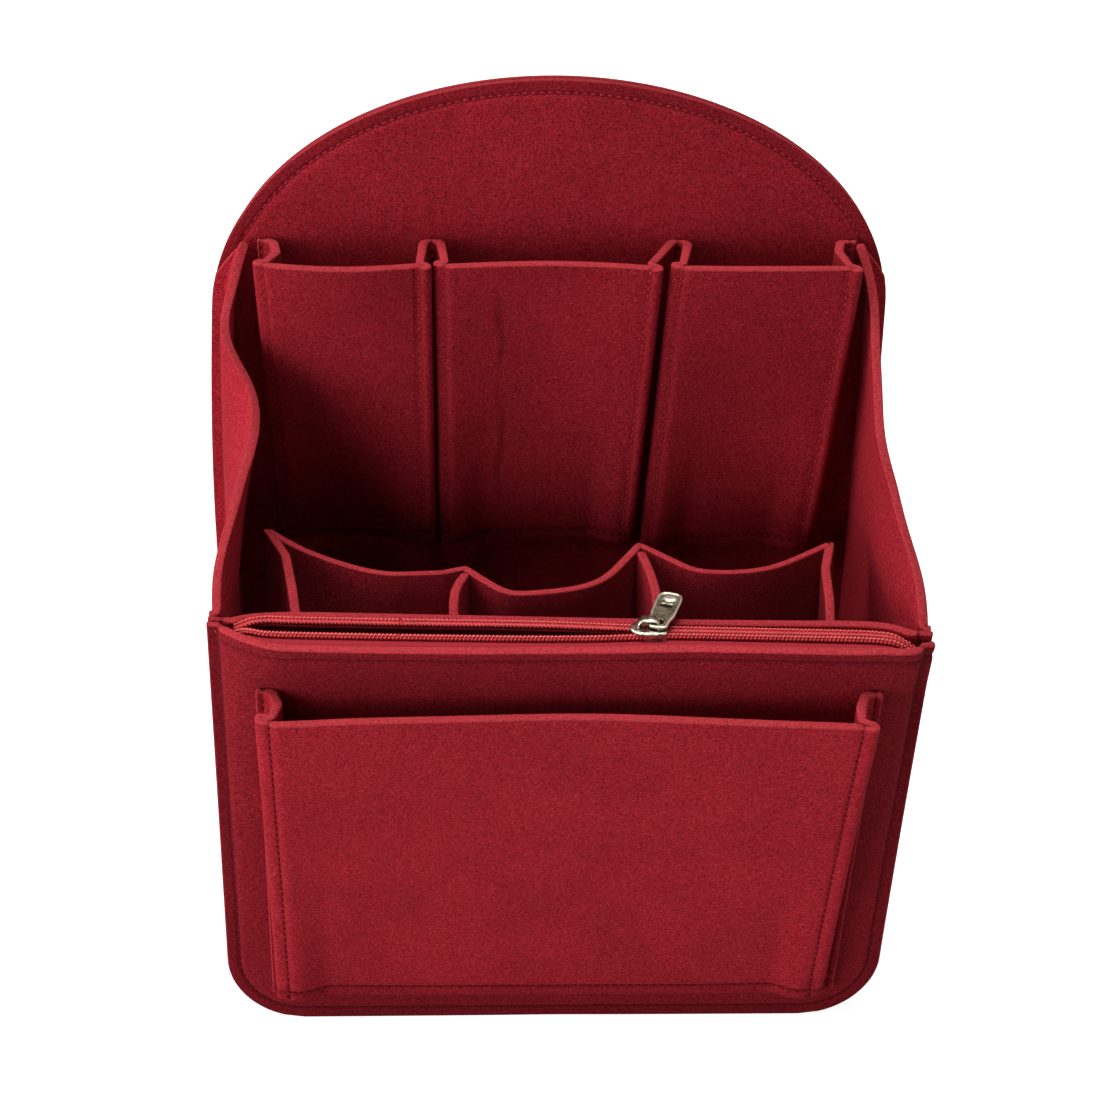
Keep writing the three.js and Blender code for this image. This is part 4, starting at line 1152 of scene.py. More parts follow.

# %% [markdown]
# ## One crease in the middle pocket
# Stiff felt that has once been folded keeps the fold as a faint wavering line. The line
# is pressed in a little, and a painted shade along it makes it darker.

# %% Back pocket strip
CREASE_PLACE, CREASE_WIDTH = -20.5, 1.4
CREASE_FOOT, CREASE_TOP = (160, 176), (272, 286)
SWAY, SWAY_LENGTH = 0.9, 6.5
QUIVER, QUIVER_LENGTH, QUIVER_PHASE = 0.5, 2.7, 1.0
FAINTER, FAINT_LENGTH, DARKEST = 0.4, 9, 262


def fold_crease(middle):
    """A line down the middle pocket that wanders by two sines, as a bell curve across it.
    It fades at both ends, and a cosine makes it fainter in places."""
    x, z = middle[..., 0], middle[..., 2]
    line = (CREASE_PLACE + SWAY * np.sin(z / SWAY_LENGTH)
            + QUIVER * np.sin(z / QUIVER_LENGTH + QUIVER_PHASE))
    ends = ease(z, *CREASE_FOOT) * (1 - ease(z, *CREASE_TOP))
    fade = ends * (1 - FAINTER + FAINTER * np.cos((z - DARKEST) / FAINT_LENGTH))
    return fade * np.exp(-((x - line) / CREASE_WIDTH) ** 2)


back_pocket_seams = strip_piece("back_pocket_strip", back_pockets,
                                crease=fold_crease(back_pockets[0]))

# %% [markdown]
# ## Inner pockets and dividers
# Behind the zip pocket one strip swings from foot to foot in three scallops. Two
# dividers tie its kinks to the wall. A natural cubic curve through a few listed
# places gives each scallop, and the depth grows with the height to the power 0.7.

# %% Inner pocket strip
INNER_BOTTOM, INNER_TOP, INNER_DEPTH, INNER_HALF = 50.0, 187.0, 60.0, 113.0
INNER_LEFT_FOOT, INNER_RIGHT_FOOT = -99.0, 96.0
INNER_SPREAD = 0.7
WALL_SINK, WALL_SINK_REACH, WALL_SINK_START = 4.5, 16.0, 110
LEFT_X = [-1, -0.86, -0.65, -0.51, -0.4]
LEFT_D = [1, 0.71, 0.48, 0.45, 0.47]
MIDDLE_X = [-0.325, -0.22, -0.12, 0.08, 0.2]
MIDDLE_D = [0.525, 0.3, 0.25, 0.35, 0.6]
RIGHT_X = [0.275, 0.385, 0.48, 0.65, 0.79, 0.93]
RIGHT_D = [0.83, 0.63, 0.525, 0.545, 0.675, 0.87]
RETURN_DEPTH, RETURN_X, INNER_RETURN_RADIUS = 0.65, 0.43, 16.0
SCALLOP_STEP = 1.6


def inner_depth(share, rise):
    """Depth of a place on the strip: from its foot seam out to its share of 60 mm."""
    return mix(LAYER_BASE + LAYER, INNER_DEPTH * share, rise ** INNER_SPREAD)


def scallop(x_shares, d_shares, rise):
    """A smooth curve through the listed places, as corners without a radius."""
    length = (max(x_shares) - min(x_shares)) * INNER_HALF
    place = np.linspace(0, len(x_shares) - 1, int(length / SCALLOP_STEP))
    return [
        corner(x * INNER_HALF, inner_depth(d, rise))
        for x, d in zip(spline(x_shares, place), spline(d_shares, place))
    ]


def inner_return(foot, corner_x, corner_d, rise):
    """The side of an outer pocket: bowed on its way from the foot to the scallop's end."""
    deep = mix(LAYER_BASE, inner_depth(corner_d, rise), RETURN_DEPTH)
    across = mix(foot, corner_x * INNER_HALF, RETURN_X)
    return corner(across, deep, INNER_RETURN_RADIUS)


def inner_pocket_path(rise):
    """Foot, return, three scallops, return and foot."""
    return rounded_path([
        corner(INNER_LEFT_FOOT + FLANGE, LAYER_BASE),
        corner(INNER_LEFT_FOOT, LAYER_BASE, FOLD_RADIUS),
        inner_return(INNER_LEFT_FOOT, LEFT_X[0], LEFT_D[0], rise),
        *scallop(LEFT_X, LEFT_D, rise), *scallop(MIDDLE_X, MIDDLE_D, rise),
        *scallop(RIGHT_X, RIGHT_D, rise),
        inner_return(INNER_RIGHT_FOOT, RIGHT_X[-1], RIGHT_D[-1], rise),
        corner(INNER_RIGHT_FOOT, LAYER_BASE, FOLD_RADIUS),
        corner(INNER_RIGHT_FOOT - FLANGE, LAYER_BASE),
    ])


def inner_place(path, z):
    """Stands the plan on the rear of the zip pocket wall. What is sewn to the wall ends
    below the wall's own top edge."""
    x, d = path[..., 0], path[..., 1]
    sink = (WALL_SINK * (1 - ease(d, LAYER_BASE + 1, WALL_SINK_REACH))
            * ease(z, WALL_SINK_START, INNER_TOP))
    return settle(stack(x, wall_face(x, z) + FELT + d, z - sink))


inner_pockets = strip_grid(inner_pocket_path, inner_place, INNER_BOTTOM, INNER_TOP)
inner_pocket_seams = strip_piece("inner_pocket_strip", inner_pockets)

# %% Dividers
DIVIDER_BOTTOM_SHARE = 0.12
DIVIDER_STEPS = np.linspace(0, 1, 12)[1:]


def divider(name, foot, bow, kink, depth_share, end_gap, flange_side):
    """Flange on the wall, then a slightly bowed leaf out to the kink of the strip."""
    def path_at(share):
        """Its plan at a share of its height."""
        rise = mix(DIVIDER_BOTTOM_SHARE, 1, share)
        end = inner_depth(depth_share, rise) - end_gap
        leaf = [
            corner(mix(foot, kink, t) + 4 * bow * rise * t * (1 - t), mix(LAYER_BASE, end, t))
            for t in DIVIDER_STEPS
        ]
        return rounded_path([corner(foot + flange_side * FLANGE, LAYER_BASE),
                             corner(foot, LAYER_BASE, FOLD_RADIUS), *leaf])

    bottom = mix(INNER_BOTTOM, INNER_TOP, DIVIDER_BOTTOM_SHARE)
    built = strip_grid(path_at, inner_place, bottom, INNER_TOP)
    strip_piece(name, built)


divider("left_inner_divider", foot=-41.0, bow=-2.0, kink=MIDDLE_X[0] * INNER_HALF,
        depth_share=MIDDLE_D[0], end_gap=4.4, flange_side=-1)
divider("right_inner_divider", foot=33.0, bow=1.5, kink=RIGHT_X[0] * INNER_HALF,
        depth_share=RIGHT_D[0], end_gap=6.0, flange_side=1)

# %% [markdown]
# ## Thread
# A lockstitch shows as a row of short bars with their ends pulled into the felt. Each
# stitch here is a small tube of its own that dips at both ends. All the stitches of a
# seam are worked out together, as one array.

# %% Tubes and stitches
THREAD_RADIUS, STITCH_PITCH, STITCH_SHARE = 0.36, 3.2, 0.62
PLY_SIZE, PLY_DEPTH = 0.25, 0.06
STITCH_SPOTS = np.array([-0.5, -0.36, 0.0, 0.36, 0.5])
STITCH_LIFTS = np.array([-0.9, 0.15, 0.55, 0.15, -0.9])
STITCH_WIDTHS = np.array([0.55, 1.0, 1.0, 1.0, 0.55])
STITCH_SIDES, STITCH_SLANT = 6, 3
rng = np.random.default_rng(7)


def ring_faces(rings, sides):
    """Faces of a closed body of rings: walls from ring to ring, and quads laid across each
    end ring like the rungs of a ladder."""
    at = np.arange(rings * sides).reshape(rings, sides)
    turned = np.roll(at, -1, axis=1)
    walls = np.stack([at[:-1], at[1:], turned[1:], turned[:-1]], axis=-1).reshape(-1, 4)
    low = np.arange(sides // 2 - 1)
    rungs = np.stack([low, low + 1, sides - 2 - low, sides - 1 - low], axis=-1)
    return np.concatenate([walls, rungs, rungs[:, ::-1] + (rings - 1) * sides])


def tubes(centres, normals, radii, sides, flatness=1.0):
    """Closed tubes, one for each row of centres. Each ring is a circle in the plane of the
    normal and the side, which is the tangent crossed with the normal."""
    count, rings = centres.shape[:2]
    tangent = unit(np.gradient(centres, axis=1))
    side = unit(np.cross(tangent, normals))
    normal = np.cross(side, tangent)
    angle = 2 * np.pi * (np.arange(sides) + 0.5) / sides
    radii = np.broadcast_to(radii, (count, rings))[..., None, None]
    ring = (side[:, :, None] * np.cos(angle)[:, None]
            + normal[:, :, None] * np.sin(angle)[:, None] * flatness)
    points = centres[:, :, None] + radii * ring
    quads = ring_faces(rings, sides) + np.arange(count)[:, None, None] * rings * sides
    return points.reshape(-1, 3), quads.reshape(-1, 4)


def join(bodies):
    """Several pairs of points and faces as one."""
    starts = np.cumsum([0] + [len(points) for points, _ in bodies[:-1]])
    points = np.concatenate([points for points, _ in bodies])
    return points, np.concatenate([quads + s for s, (_, quads) in zip(starts, bodies)])


def along(points, normals, places):
    """Points and normals of a line, read at distances along it."""
    length = np.concatenate([[0], np.cumsum(np.linalg.norm(np.diff(points, axis=0), axis=-1))])
    read = [np.stack([np.interp(places, length, values[:, k]) for k in range(3)], axis=-1)
            for values in (points, normals)]
    return read[0], unit(read[1])


def stitches(points, normals, pitch=STITCH_PITCH, radius=THREAD_RADIUS, share=STITCH_SHARE,
             unevenness=0.05):
    """A row of stitches along a line on a surface, each a tube that dips at both ends."""
    count = int(line_length(points) / pitch)
    middles = (np.arange(count) + 0.5) * pitch
    lengths = pitch * share * (1 + unevenness * rng.standard_normal(count))
    places = middles[:, None] + lengths[:, None] * STITCH_SPOTS
    centres, ups = along(points, normals, places.ravel())
    centres, ups = centres.reshape(count, -1, 3), ups.reshape(count, -1, 3)
    slant = unevenness * STITCH_SLANT * rng.standard_normal((count, 1, 1))
    slant = slant * STITCH_SPOTS[:, None]
    side = np.cross(unit(np.gradient(centres, axis=1)), ups)
    centres = centres + ups * (STITCH_LIFTS * radius)[:, None] + side * slant * radius * 2
    return tubes(centres, ups, radius * STITCH_WIDTHS, STITCH_SIDES)


def thread_material(name, dark, light):
    """Polyester sewing thread: spun and matt, with the twist of its plies as fine bands."""
    material, tree = new_material(name)
    place = add_node(tree, "TexCoord").outputs["Object"]
    plies = add_node(tree, "TexNoise", {"Vector": place, "Scale": 1 / (PLY_SIZE * MM),
                                        "Detail": 2.0, "Roughness": 0.6})
    tone = add_node(tree, "ValToRGB", {"Fac": plies.outputs["Fac"]}, ((0.35, dark), (0.7, light)))
    bump = add_node(tree, "Bump", {"Height": plies.outputs["Fac"], "Strength": 0.5,
                                   "Distance": PLY_DEPTH * MM})
    shader = add_node(tree, "BsdfPrincipled", {
        "Base Color": tone.outputs[0], "Normal": bump.outputs[0], "Roughness": 0.7,
        "Specular IOR Level": 0.02,
    })
    add_node(tree, "OutputMaterial", {"Surface": shader.outputs[0]})
    return material


# Two copies of one red thread: a dark one, as painted shade for stitches sunk in their grooves,
# and a pale one, as painted highlight for stitches that catch the light.
THREAD_PAINTED_SHADE_FINISH = thread_material("spun_polyester_thread_painted_shade", "#480D16", "#701822")
THREAD_PAINTED_HIGHLIGHT_FINISH = thread_material("polyester_thread_painted_highlight", "#86141F", "#BE3A45")


def seam_piece(name, lines, finish=THREAD_PAINTED_SHADE_FINISH):
    """All the stitches of some lines on one fixed felt piece."""
    points, quads = join([stitches(*line) for line in lines])
    piece = new_mesh(name, points, quads, finish)
    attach(piece, "insert")
    print(name, round(sum(line_length(line[0]) for line in lines)), "mm of seam,",
          len(quads) * 2, "triangles")


# %% [markdown]
# ## Where the seams run
# A seam's line lies on the surface it is sewn through. On a panel it follows the
# outline at 5 mm. On a pleated strip it is one column of the strip's own grid, pushed
# out to the face.

# %% Lines on the panels
SLOPE_STEP = 0.2
TURN_POINTS, SIDE_POINTS, ARCH_POINTS, TOP_POINTS = 40, 120, 400, 300


def on_panel(surface, x, z, facing):
    """Line on a surface given as a function of x and z, with normals from small steps."""
    at = surface(x, z)
    normal = unit(np.cross(surface(x + SLOPE_STEP, z) - at, surface(x, z + SLOPE_STEP) - at))
    normal = normal * np.where(normal[..., 1:2] * facing < 0, -1, 1)
    return at - normal * GROOVE_DEPTH, normal


def front_outline(inset, top):
    """Left side down, round the corner, along the bottom and up the right side."""
    turn_angle = np.linspace(0, np.pi / 2, TURN_POINTS)
    radius = CORNER_RADIUS - inset
    corner_x = HALF_WIDTH - CORNER_RADIUS + radius * np.cos(turn_angle)
    corner_z = CORNER_RADIUS - radius * np.sin(turn_angle)
    side_z = np.linspace(top, CORNER_RADIUS, SIDE_POINTS)[:-1]
    side_x = np.full(len(side_z), HALF_WIDTH - inset)
    half_x = np.concatenate([side_x, corner_x])
    half_z = np.concatenate([side_z, corner_z])
    across = np.linspace(-1, 1, SIDE_POINTS)[1:-1] * (HALF_WIDTH - CORNER_RADIUS)
    x = np.concatenate([-half_x, across, half_x[::-1]])
    z = np.concatenate([half_z, np.full(len(across), float(inset)), half_z[::-1]])
    return x, z


def back_outline(inset):
    """The same round the bottom, and on over the half ellipse, with the sides' swell."""
    x, z = front_outline(inset, ARCH_START)
    rise = BACK_HEIGHT - ARCH_START
    turn_angle = np.linspace(0, np.pi, ARCH_POINTS)[1:-1]
    out = unit(stack(np.cos(turn_angle) / HALF_WIDTH, 0, np.sin(turn_angle) / rise))
    x = np.concatenate([x, HALF_WIDTH * np.cos(turn_angle) - inset * out[:, 0]])
    z = np.concatenate([z, ARCH_START + rise * np.sin(turn_angle) - inset * out[:, 2]])
    return swelled(x, z), z


def front_surface(x, z):
    """The front panel's outer face."""
    return settle(stack(x, front_face(x, z), hand_cut(x, z, FRONT_DROPS)))


def wall_rear_surface(x, z):
    """The zip pocket wall's rear face."""
    return settle(stack(x, wall_face(x, z) + FELT, hand_cut(x, z, WALL_DROPS)))


def level_surface(y):
    """A surface at one depth, settled with the rest."""
    return lambda x, z: settle(stack(x, y + 0 * x, z))


# %% Panel seams
LIP_SEAM_INSET, SIDE_SEAM_DROP, LIP_SEAM_DROP, SEAM_CLEAR = 3.7, 1.5, 2, 1
PALE_END = -96.0
RIGHT_END = np.array([118.0, 122.0, 124.6]), np.array([183.0, 181.5, 177.0])
RIGHT_END_TWO = RIGHT_END[0] + 1.2, RIGHT_END[1] + 2.0
LEFT_END = np.array([-127.5, -125.5, -124.5]), np.array([187.0, 182.0, 174.0])
top_x = np.linspace(-1, 1, TOP_POINTS) * (HALF_WIDTH - SEAM_INSET - SEAM_CLEAR)
top_z = np.full(len(top_x), FRONT_HEIGHT - TOP_SEAM_DROP)
dark_part, pale_part = top_x > PALE_END, top_x <= PALE_END
seam_piece("front_seam_thread", [
    on_panel(front_surface, *front_outline(SEAM_INSET, FRONT_HEIGHT - SIDE_SEAM_DROP), -1),
    on_panel(front_surface, top_x[dark_part], top_z[dark_part], -1),
    on_panel(wall_rear_surface, top_x, top_z, 1),
])
# Pale thread here is a painted highlight: the stitches at the left end of the top seam and at the
# seam ends catch the light.
seam_piece("front_seam_ends", [
    on_panel(front_surface, top_x[pale_part], top_z[pale_part], -1),
    *(on_panel(front_surface, *end, -1) for end in (RIGHT_END, RIGHT_END_TWO, LEFT_END)),
], THREAD_PAINTED_HIGHLIGHT_FINISH)
seam_piece("lip_seam_thread", [
    on_panel(level_surface(GUSSET_FRONT + HALF_FELT),
             *front_outline(LIP_SEAM_INSET, FRONT_HEIGHT - LIP_SEAM_DROP), 1),
])
rear_x, rear_z = back_outline(SEAM_INSET)
over = rear_z > GUSSET_BACK_HEIGHT + SEAM_CLEAR
# The back seams are sewn with the painted highlight thread.
seam_piece("back_seam_thread", [
    on_panel(level_surface(BACK_FACE + FELT + LAYER), rear_x, rear_z, 1),
    on_panel(level_surface(BACK_FACE), rear_x[over], rear_z[over], -1),
], THREAD_PAINTED_HIGHLIGHT_FINISH)


# %% Seams on the strips
END_COLUMN = 2


def strip_line(middle, pinch, rows, columns, facing):
    """One row or column of a strip, or part of it, on the face that looks the given way
    in y."""
    normal = grid_normals(middle)[rows, columns]
    normal = normal * np.where(normal[:, 1:2].mean() * facing < 0, -1, 1)
    off = (HALF_FELT - pinch[rows, columns])[:, None]
    return middle[rows, columns] + normal * off, normal


def foot_line(middle, pinch, first, last, facing):
    """The foot seam between two columns, on the row nearest to its height."""
    above = middle[:, first, 2] - middle[0, first, 2] - BOTTOM_SEAM_RISE
    return strip_line(middle, pinch, np.abs(above).argmin(), slice(first, last + 1), facing)


def strip_seams(built, feet):
    """Stitches on both faces of each sewn column, and on the front of the foot seams, which
    run between the columns that feet names in pairs."""
    middle, pinch, columns = built
    ridges = [strip_line(middle, pinch, slice(None), k, way) for k in columns for way in (-1, 1)]
    return ridges + [foot_line(middle, pinch, columns[a], columns[b], -1) for a, b in feet]


seam_piece("front_pocket_thread", strip_seams(front_pocket_seams, [(1, 2)]))
# The back pocket stitches get the painted highlight thread.
seam_piece("back_pocket_thread", strip_seams(back_pocket_seams, [(1, 2), (4, 5), (7, 8)]),
           THREAD_PAINTED_HIGHLIGHT_FINISH)
inner_middle, inner_pinch, _ = inner_pocket_seams
inner_ends = END_COLUMN, inner_middle.shape[1] - 1 - END_COLUMN
seam_piece("inner_pocket_thread", [foot_line(inner_middle, inner_pinch, *inner_ends, 1)])

# %% [markdown]
# ## Zip
# A coil zip has a nylon monofilament wound into a flat spring and sewn to the edge of
# a woven tape. Its turns are 1.4 mm apart. The coil is a helix with an oval section,
# and the wire is a thin tube round it. Rows of sewing hold each turn down.
# When the slider moves, both chains shift at the middle and stay put at their ends. Each
# one is made in two pieces, left and right.

# %% Zip lines
ZIP_LEFT, ZIP_RIGHT, ZIP_DIP, LEFT_DIP_SHARE = -120.5, 123.0, 5.0, 0.6
RIGHT_DIP_START, LEFT_DIP_START, DIP_END = 9, 7, 4
CHAIN_Z = FRONT_HEIGHT - 0.8
CHAIN_REAR_SHIFT, SHIFT_REACH = 0.8, (4, 20)
COIL_WIDTH, COIL_HEIGHT, COIL_GAP = 3.4, 2.0, 0.1
COIL_PITCH, WIRE_RADIUS = 1.4, 0.4
TAPE, TAPE_GAP, TAPE_BEND, TAPE_RIM = 0.7, 0.15, 0.8, 0.12
TAPE_DROP, TAPE_EDGE, TAPE_SPARE, TAPE_STEP, TAPE_RISE = 12.0, 4, 4.5, 1.5, 0.3
LENS_HALF_GAP, LENS_OPENING, LENS_CLOSING = 3.0, 13.0, 61.0
SLIDER_X, SLIDER_LENGTH = 28.2, 13.5
ZIP_SPLIT = -60.0
BLEND_BEFORE, BLEND_AFTER = 40, 22


def lens_half_gap(x):
    """Half the gap between the chains: opens over 20 mm and closes towards the slider."""
    closing = np.clip((x - SLIDER_X - SLIDER_LENGTH / 2) / LENS_CLOSING + 1, 0, 1)
    return LENS_HALF_GAP * ease(x, ZIP_LEFT, ZIP_LEFT + LENS_OPENING) * (1 - closing ** 2)


def chain_height(x):
    """z of the chain: level, and down into the pocket over its last millimetres."""
    right = ease(x - ZIP_RIGHT, -RIGHT_DIP_START, DIP_END)
    left = ease(ZIP_LEFT - x, -LEFT_DIP_START, DIP_END)
    return CHAIN_Z - ZIP_DIP * (right + LEFT_DIP_SHARE * left)


def chain_centre(x):
    """y midway between the felt faces at the chain's height, set back a little."""
    middle = (front_face(x, CHAIN_Z) + FELT + wall_face(x, CHAIN_Z)) / 2
    return middle + CHAIN_REAR_SHIFT * ease(ZIP_RIGHT - np.abs(x), *SHIFT_REACH)


# %% Zip materials
TAPE_THREAD, TAPE_WEAVE_DEPTH, DYE_SIZE = 0.55, 0.1, 6


def tape_material():
    """Dyed polyester: fine slanting threads, worked out on the piece's own map. Its colours
    are set darker as painted shade, for a tape that lies sunk between the felt layers.
    """
    material, tree = new_material("woven_polyester_tape")
    place = add_node(tree, "UVMap", uv_map="UVMap").outputs[0]
    scale = (1 / TAPE_THREAD, 0.5 / TAPE_THREAD, 1.0)
    scaled = add_node(tree, "Mapping", {"Vector": place, "Scale": scale})
    weave = add_node(tree, "TexWave", {"Vector": scaled.outputs[0], "Scale": 0.5,
                                       "Distortion": 0.6, "Detail": 1.0},
                     wave_type="BANDS", bands_direction="DIAGONAL")
    # The weave's colours are dark as painted shade for the sunk tape.
    tone = add_node(tree, "ValToRGB", {"Fac": weave.outputs["Fac"]},
                    ((0.0, "#7C1420"), (1.0, "#AA2A35")))
    bump = add_node(tree, "Bump", {"Height": weave.outputs["Fac"], "Strength": 0.6,
                                   "Distance": TAPE_WEAVE_DEPTH * MM})
    shader = add_node(tree, "BsdfPrincipled", {
        "Base Color": tone.outputs[0], "Normal": bump.outputs[0], "Roughness": 0.8,
        "Specular IOR Level": 0.15, "Sheen Weight": 0.05, "Sheen Tint": srgb("#F09090"),
    })
    add_node(tree, "OutputMaterial", {"Surface": shader.outputs[0]})
    return material


def nylon_material():
    """Extruded nylon wire, dyed through: smooth, with a soft gloss."""
    material, tree = new_material("dyed_nylon_monofilament")
    place = add_node(tree, "TexCoord").outputs["Object"]
    dye = add_node(tree, "TexNoise", {"Vector": place, "Scale": 1 / (DYE_SIZE * MM),
                                      "Detail": 2.0})
    tone = add_node(tree, "ValToRGB", {"Fac": dye.outputs["Fac"]},
                    ((0.3, "#A9232C"), (0.7, "#BC2F35")))
    shader = add_node(tree, "BsdfPrincipled", {
        "Base Color": tone.outputs[0], "Roughness": 0.4, "IOR": 1.53,
        "Specular IOR Level": 0.3,
    })
    add_node(tree, "OutputMaterial", {"Surface": shader.outputs[0]})
    return material


TAPE_FINISH, COIL_FINISH = tape_material(), nylon_material()
# The sewing over the coils is pale as a painted highlight, for the light it catches.
SEWING_PAINTED_HIGHLIGHT_FINISH = thread_material("filament_thread_painted_highlight", "#CE4244", "#EC7F77")


# %% Tapes, coils and sewing
COIL_POINTS, COIL_SIDES, HEAD_REACH = 14, 6, 0.25
CORE_FLATNESS, CORE_STEP, CORE_SIDES = 0.52, 2, 8
SEWING_PLACE, SEWING_STEP, SEWING_LIFT = 0.68, 0.7, 0.02
SEWING_RADIUS, SEWING_SHARE, SEWING_UNEVENNESS = 0.4, 0.72, 0.02


def zip_piece(kind, end, part, body, finish):
    """A part of a chain, as a mesh that stands in for the zip node of its end, with its
    place baked in. The stretch where it would pass between the insert and its chain is
    worked out, but nothing uses it."""
    points, quads, uv = (*body, None)[:3]
    piece = new_mesh(f"{kind}_{end}_{part}", points, quads, finish, uv=uv)
    node = "zip_tape" if kind == "zip_tape" else "zip_coil"
    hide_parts(f"{node}_{end}")
    chain = f"{end}_zip_chain"
    low, high, bodies = {
        "left": (ZIP_LEFT, ZIP_LEFT + LENS_OPENING, ("insert", chain)),
        "right": (SLIDER_X - BLEND_BEFORE, SLIDER_X + BLEND_AFTER, (chain, "insert")),
    }[part]
    low, high = (low + MIDDLE[0]) * MM, (high + MIDDLE[0]) * MM
    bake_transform(piece)
    print(piece.name, len(quads) * 2, "triangles")
    return piece


def coil_middle(x, side, share=0.5):
    """y of a line along a row of coil, at a share of its width from the inner heads."""
    return chain_centre(x) + side * (lens_half_gap(x) + COIL_GAP + COIL_WIDTH * share)


def tape_part(x_low, x_high, side):
    """The tape's edge under the coil, out to the felt, and 12 mm down along it."""
    x = np.linspace(x_low, x_high, int((x_high - x_low) / TAPE_STEP))
    z = chain_height(x) - COIL_HEIGHT / 2 - TAPE_GAP - TAPE / 2

    def seat(height):
        """y of the tape where it lies against the felt."""
        face = front_face(x, height) + FELT if side < 0 else wall_face(x, height)
        return face - side * (edge_flare(height) + TAPE_GAP + TAPE / 2)

    inner = chain_centre(x) + side * (lens_half_gap(x) + COIL_GAP + SEAM_GAP)
    path = rounded_path([corner(inner, z),
                         corner(seat(z + TAPE_RISE), z + TAPE_RISE, TAPE_BEND),
                         corner(seat(z - TAPE_DROP), z - TAPE_DROP)])[0]
    middle = settle(stack(x[:, None], path[..., 0], path[..., 1]))
    points, quads, _ = sheet_body(middle, TAPE, TAPE_RIM)
    across = np.linspace(0, TAPE_DROP + TAPE_EDGE, path.shape[1])
    inside = np.stack(np.broadcast_arrays(x[:, None], across), axis=-1)
    return points, quads, over_sheet(inside, inside.shape, len(points))


def coil_part(x_low, x_high, side):
    """Helix with an oval section, 1.4 mm a turn, round a filler cord. Its inner heads
    reach a little further, to mesh."""
    first, last = ((end - ZIP_SPLIT) / COIL_PITCH for end in (x_low, x_high))
    phase = 2 * np.pi * np.linspace(first, last, int((last - first) * COIL_POINTS) + 1)
    offset = 0.5 * COIL_PITCH if side > 0 else 0.0
    x = ZIP_SPLIT + COIL_PITCH * phase / (2 * np.pi)
    across, up = np.cos(phase), np.sin(phase)
    reach = COIL_WIDTH / 2 - WIRE_RADIUS + HEAD_REACH * (across < 0) * across ** 2
    centres = settle(stack(x + offset, coil_middle(x, side) + side * reach * across,
                           chain_height(x) + (COIL_HEIGHT / 2 - WIRE_RADIUS) * up))
    normals = stack(0 * x, side * across, up)
    core_x = np.linspace(x_low, x_high, int((x_high - x_low) / CORE_STEP) + 1)
    core = settle(stack(core_x, coil_middle(core_x, side), chain_height(core_x)))
    core_up = stack(0 * core_x, 0, 1.0)
    return join([
        tubes(centres[None], normals[None], WIRE_RADIUS, COIL_SIDES),
        tubes(core[None], core_up[None], COIL_WIDTH / 2 - WIRE_RADIUS, CORE_SIDES,
              CORE_FLATNESS),
    ])


def sewing_part(x_low, x_high, side):
    """A row of short stitches over the coil, one for each turn."""
    x = np.linspace(x_low, x_high, int((x_high - x_low) / SEWING_STEP))
    top = chain_height(x) + COIL_HEIGHT / 2 + SEWING_LIFT
    points = settle(stack(x, coil_middle(x, side, SEWING_PLACE), top))
    return stitches(points, stack(0 * x, 0, 1.0), COIL_PITCH, SEWING_RADIUS, SEWING_SHARE,
                    SEWING_UNEVENNESS)


ZIP_PARTS = {"left": (ZIP_LEFT, ZIP_SPLIT), "right": (ZIP_SPLIT, ZIP_RIGHT)}
for side, end, wall in ((-1, "front", "front_panel"), (1, "rear", "zip_pocket_wall")):
    for part, (low, high) in ZIP_PARTS.items():
        tape = zip_piece("zip_tape", end, part, tape_part(low, high, side), TAPE_FINISH)
        zip_piece("zip_coil", end, part, coil_part(low, high, side), COIL_FINISH)
        zip_piece("zip_sewing", end, part, sewing_part(low, high, side), SEWING_PAINTED_HIGHLIGHT_FINISH)

# %% [markdown]
# ## Slider and pull tab
# The slider is cast in zinc, tumbled until its edges are round, and nickel plated. Its
# plates are outlines stacked in rings: the rings shrink along a quarter circle at each
# edge. The tab is a ring of rings between its outline and its eye, so that its raised
# rim and its sunk field can follow the outline.

# %% Nickel
MARK_TURNS, MARK_LENGTH, MARK_WIDTH, MARK_DEPTH = (0.2, 0.1, 0.7), 4, 0.12, 0.03
# The second colour is the painted highlight on raised edges and the third the painted shade in
# the slot.
FILM_SIZE, PAINTED_HIGHLIGHT_COLOUR, PAINTED_SLOT_SHADE_COLOUR = 2, "#DCD8CA", "#26231A"


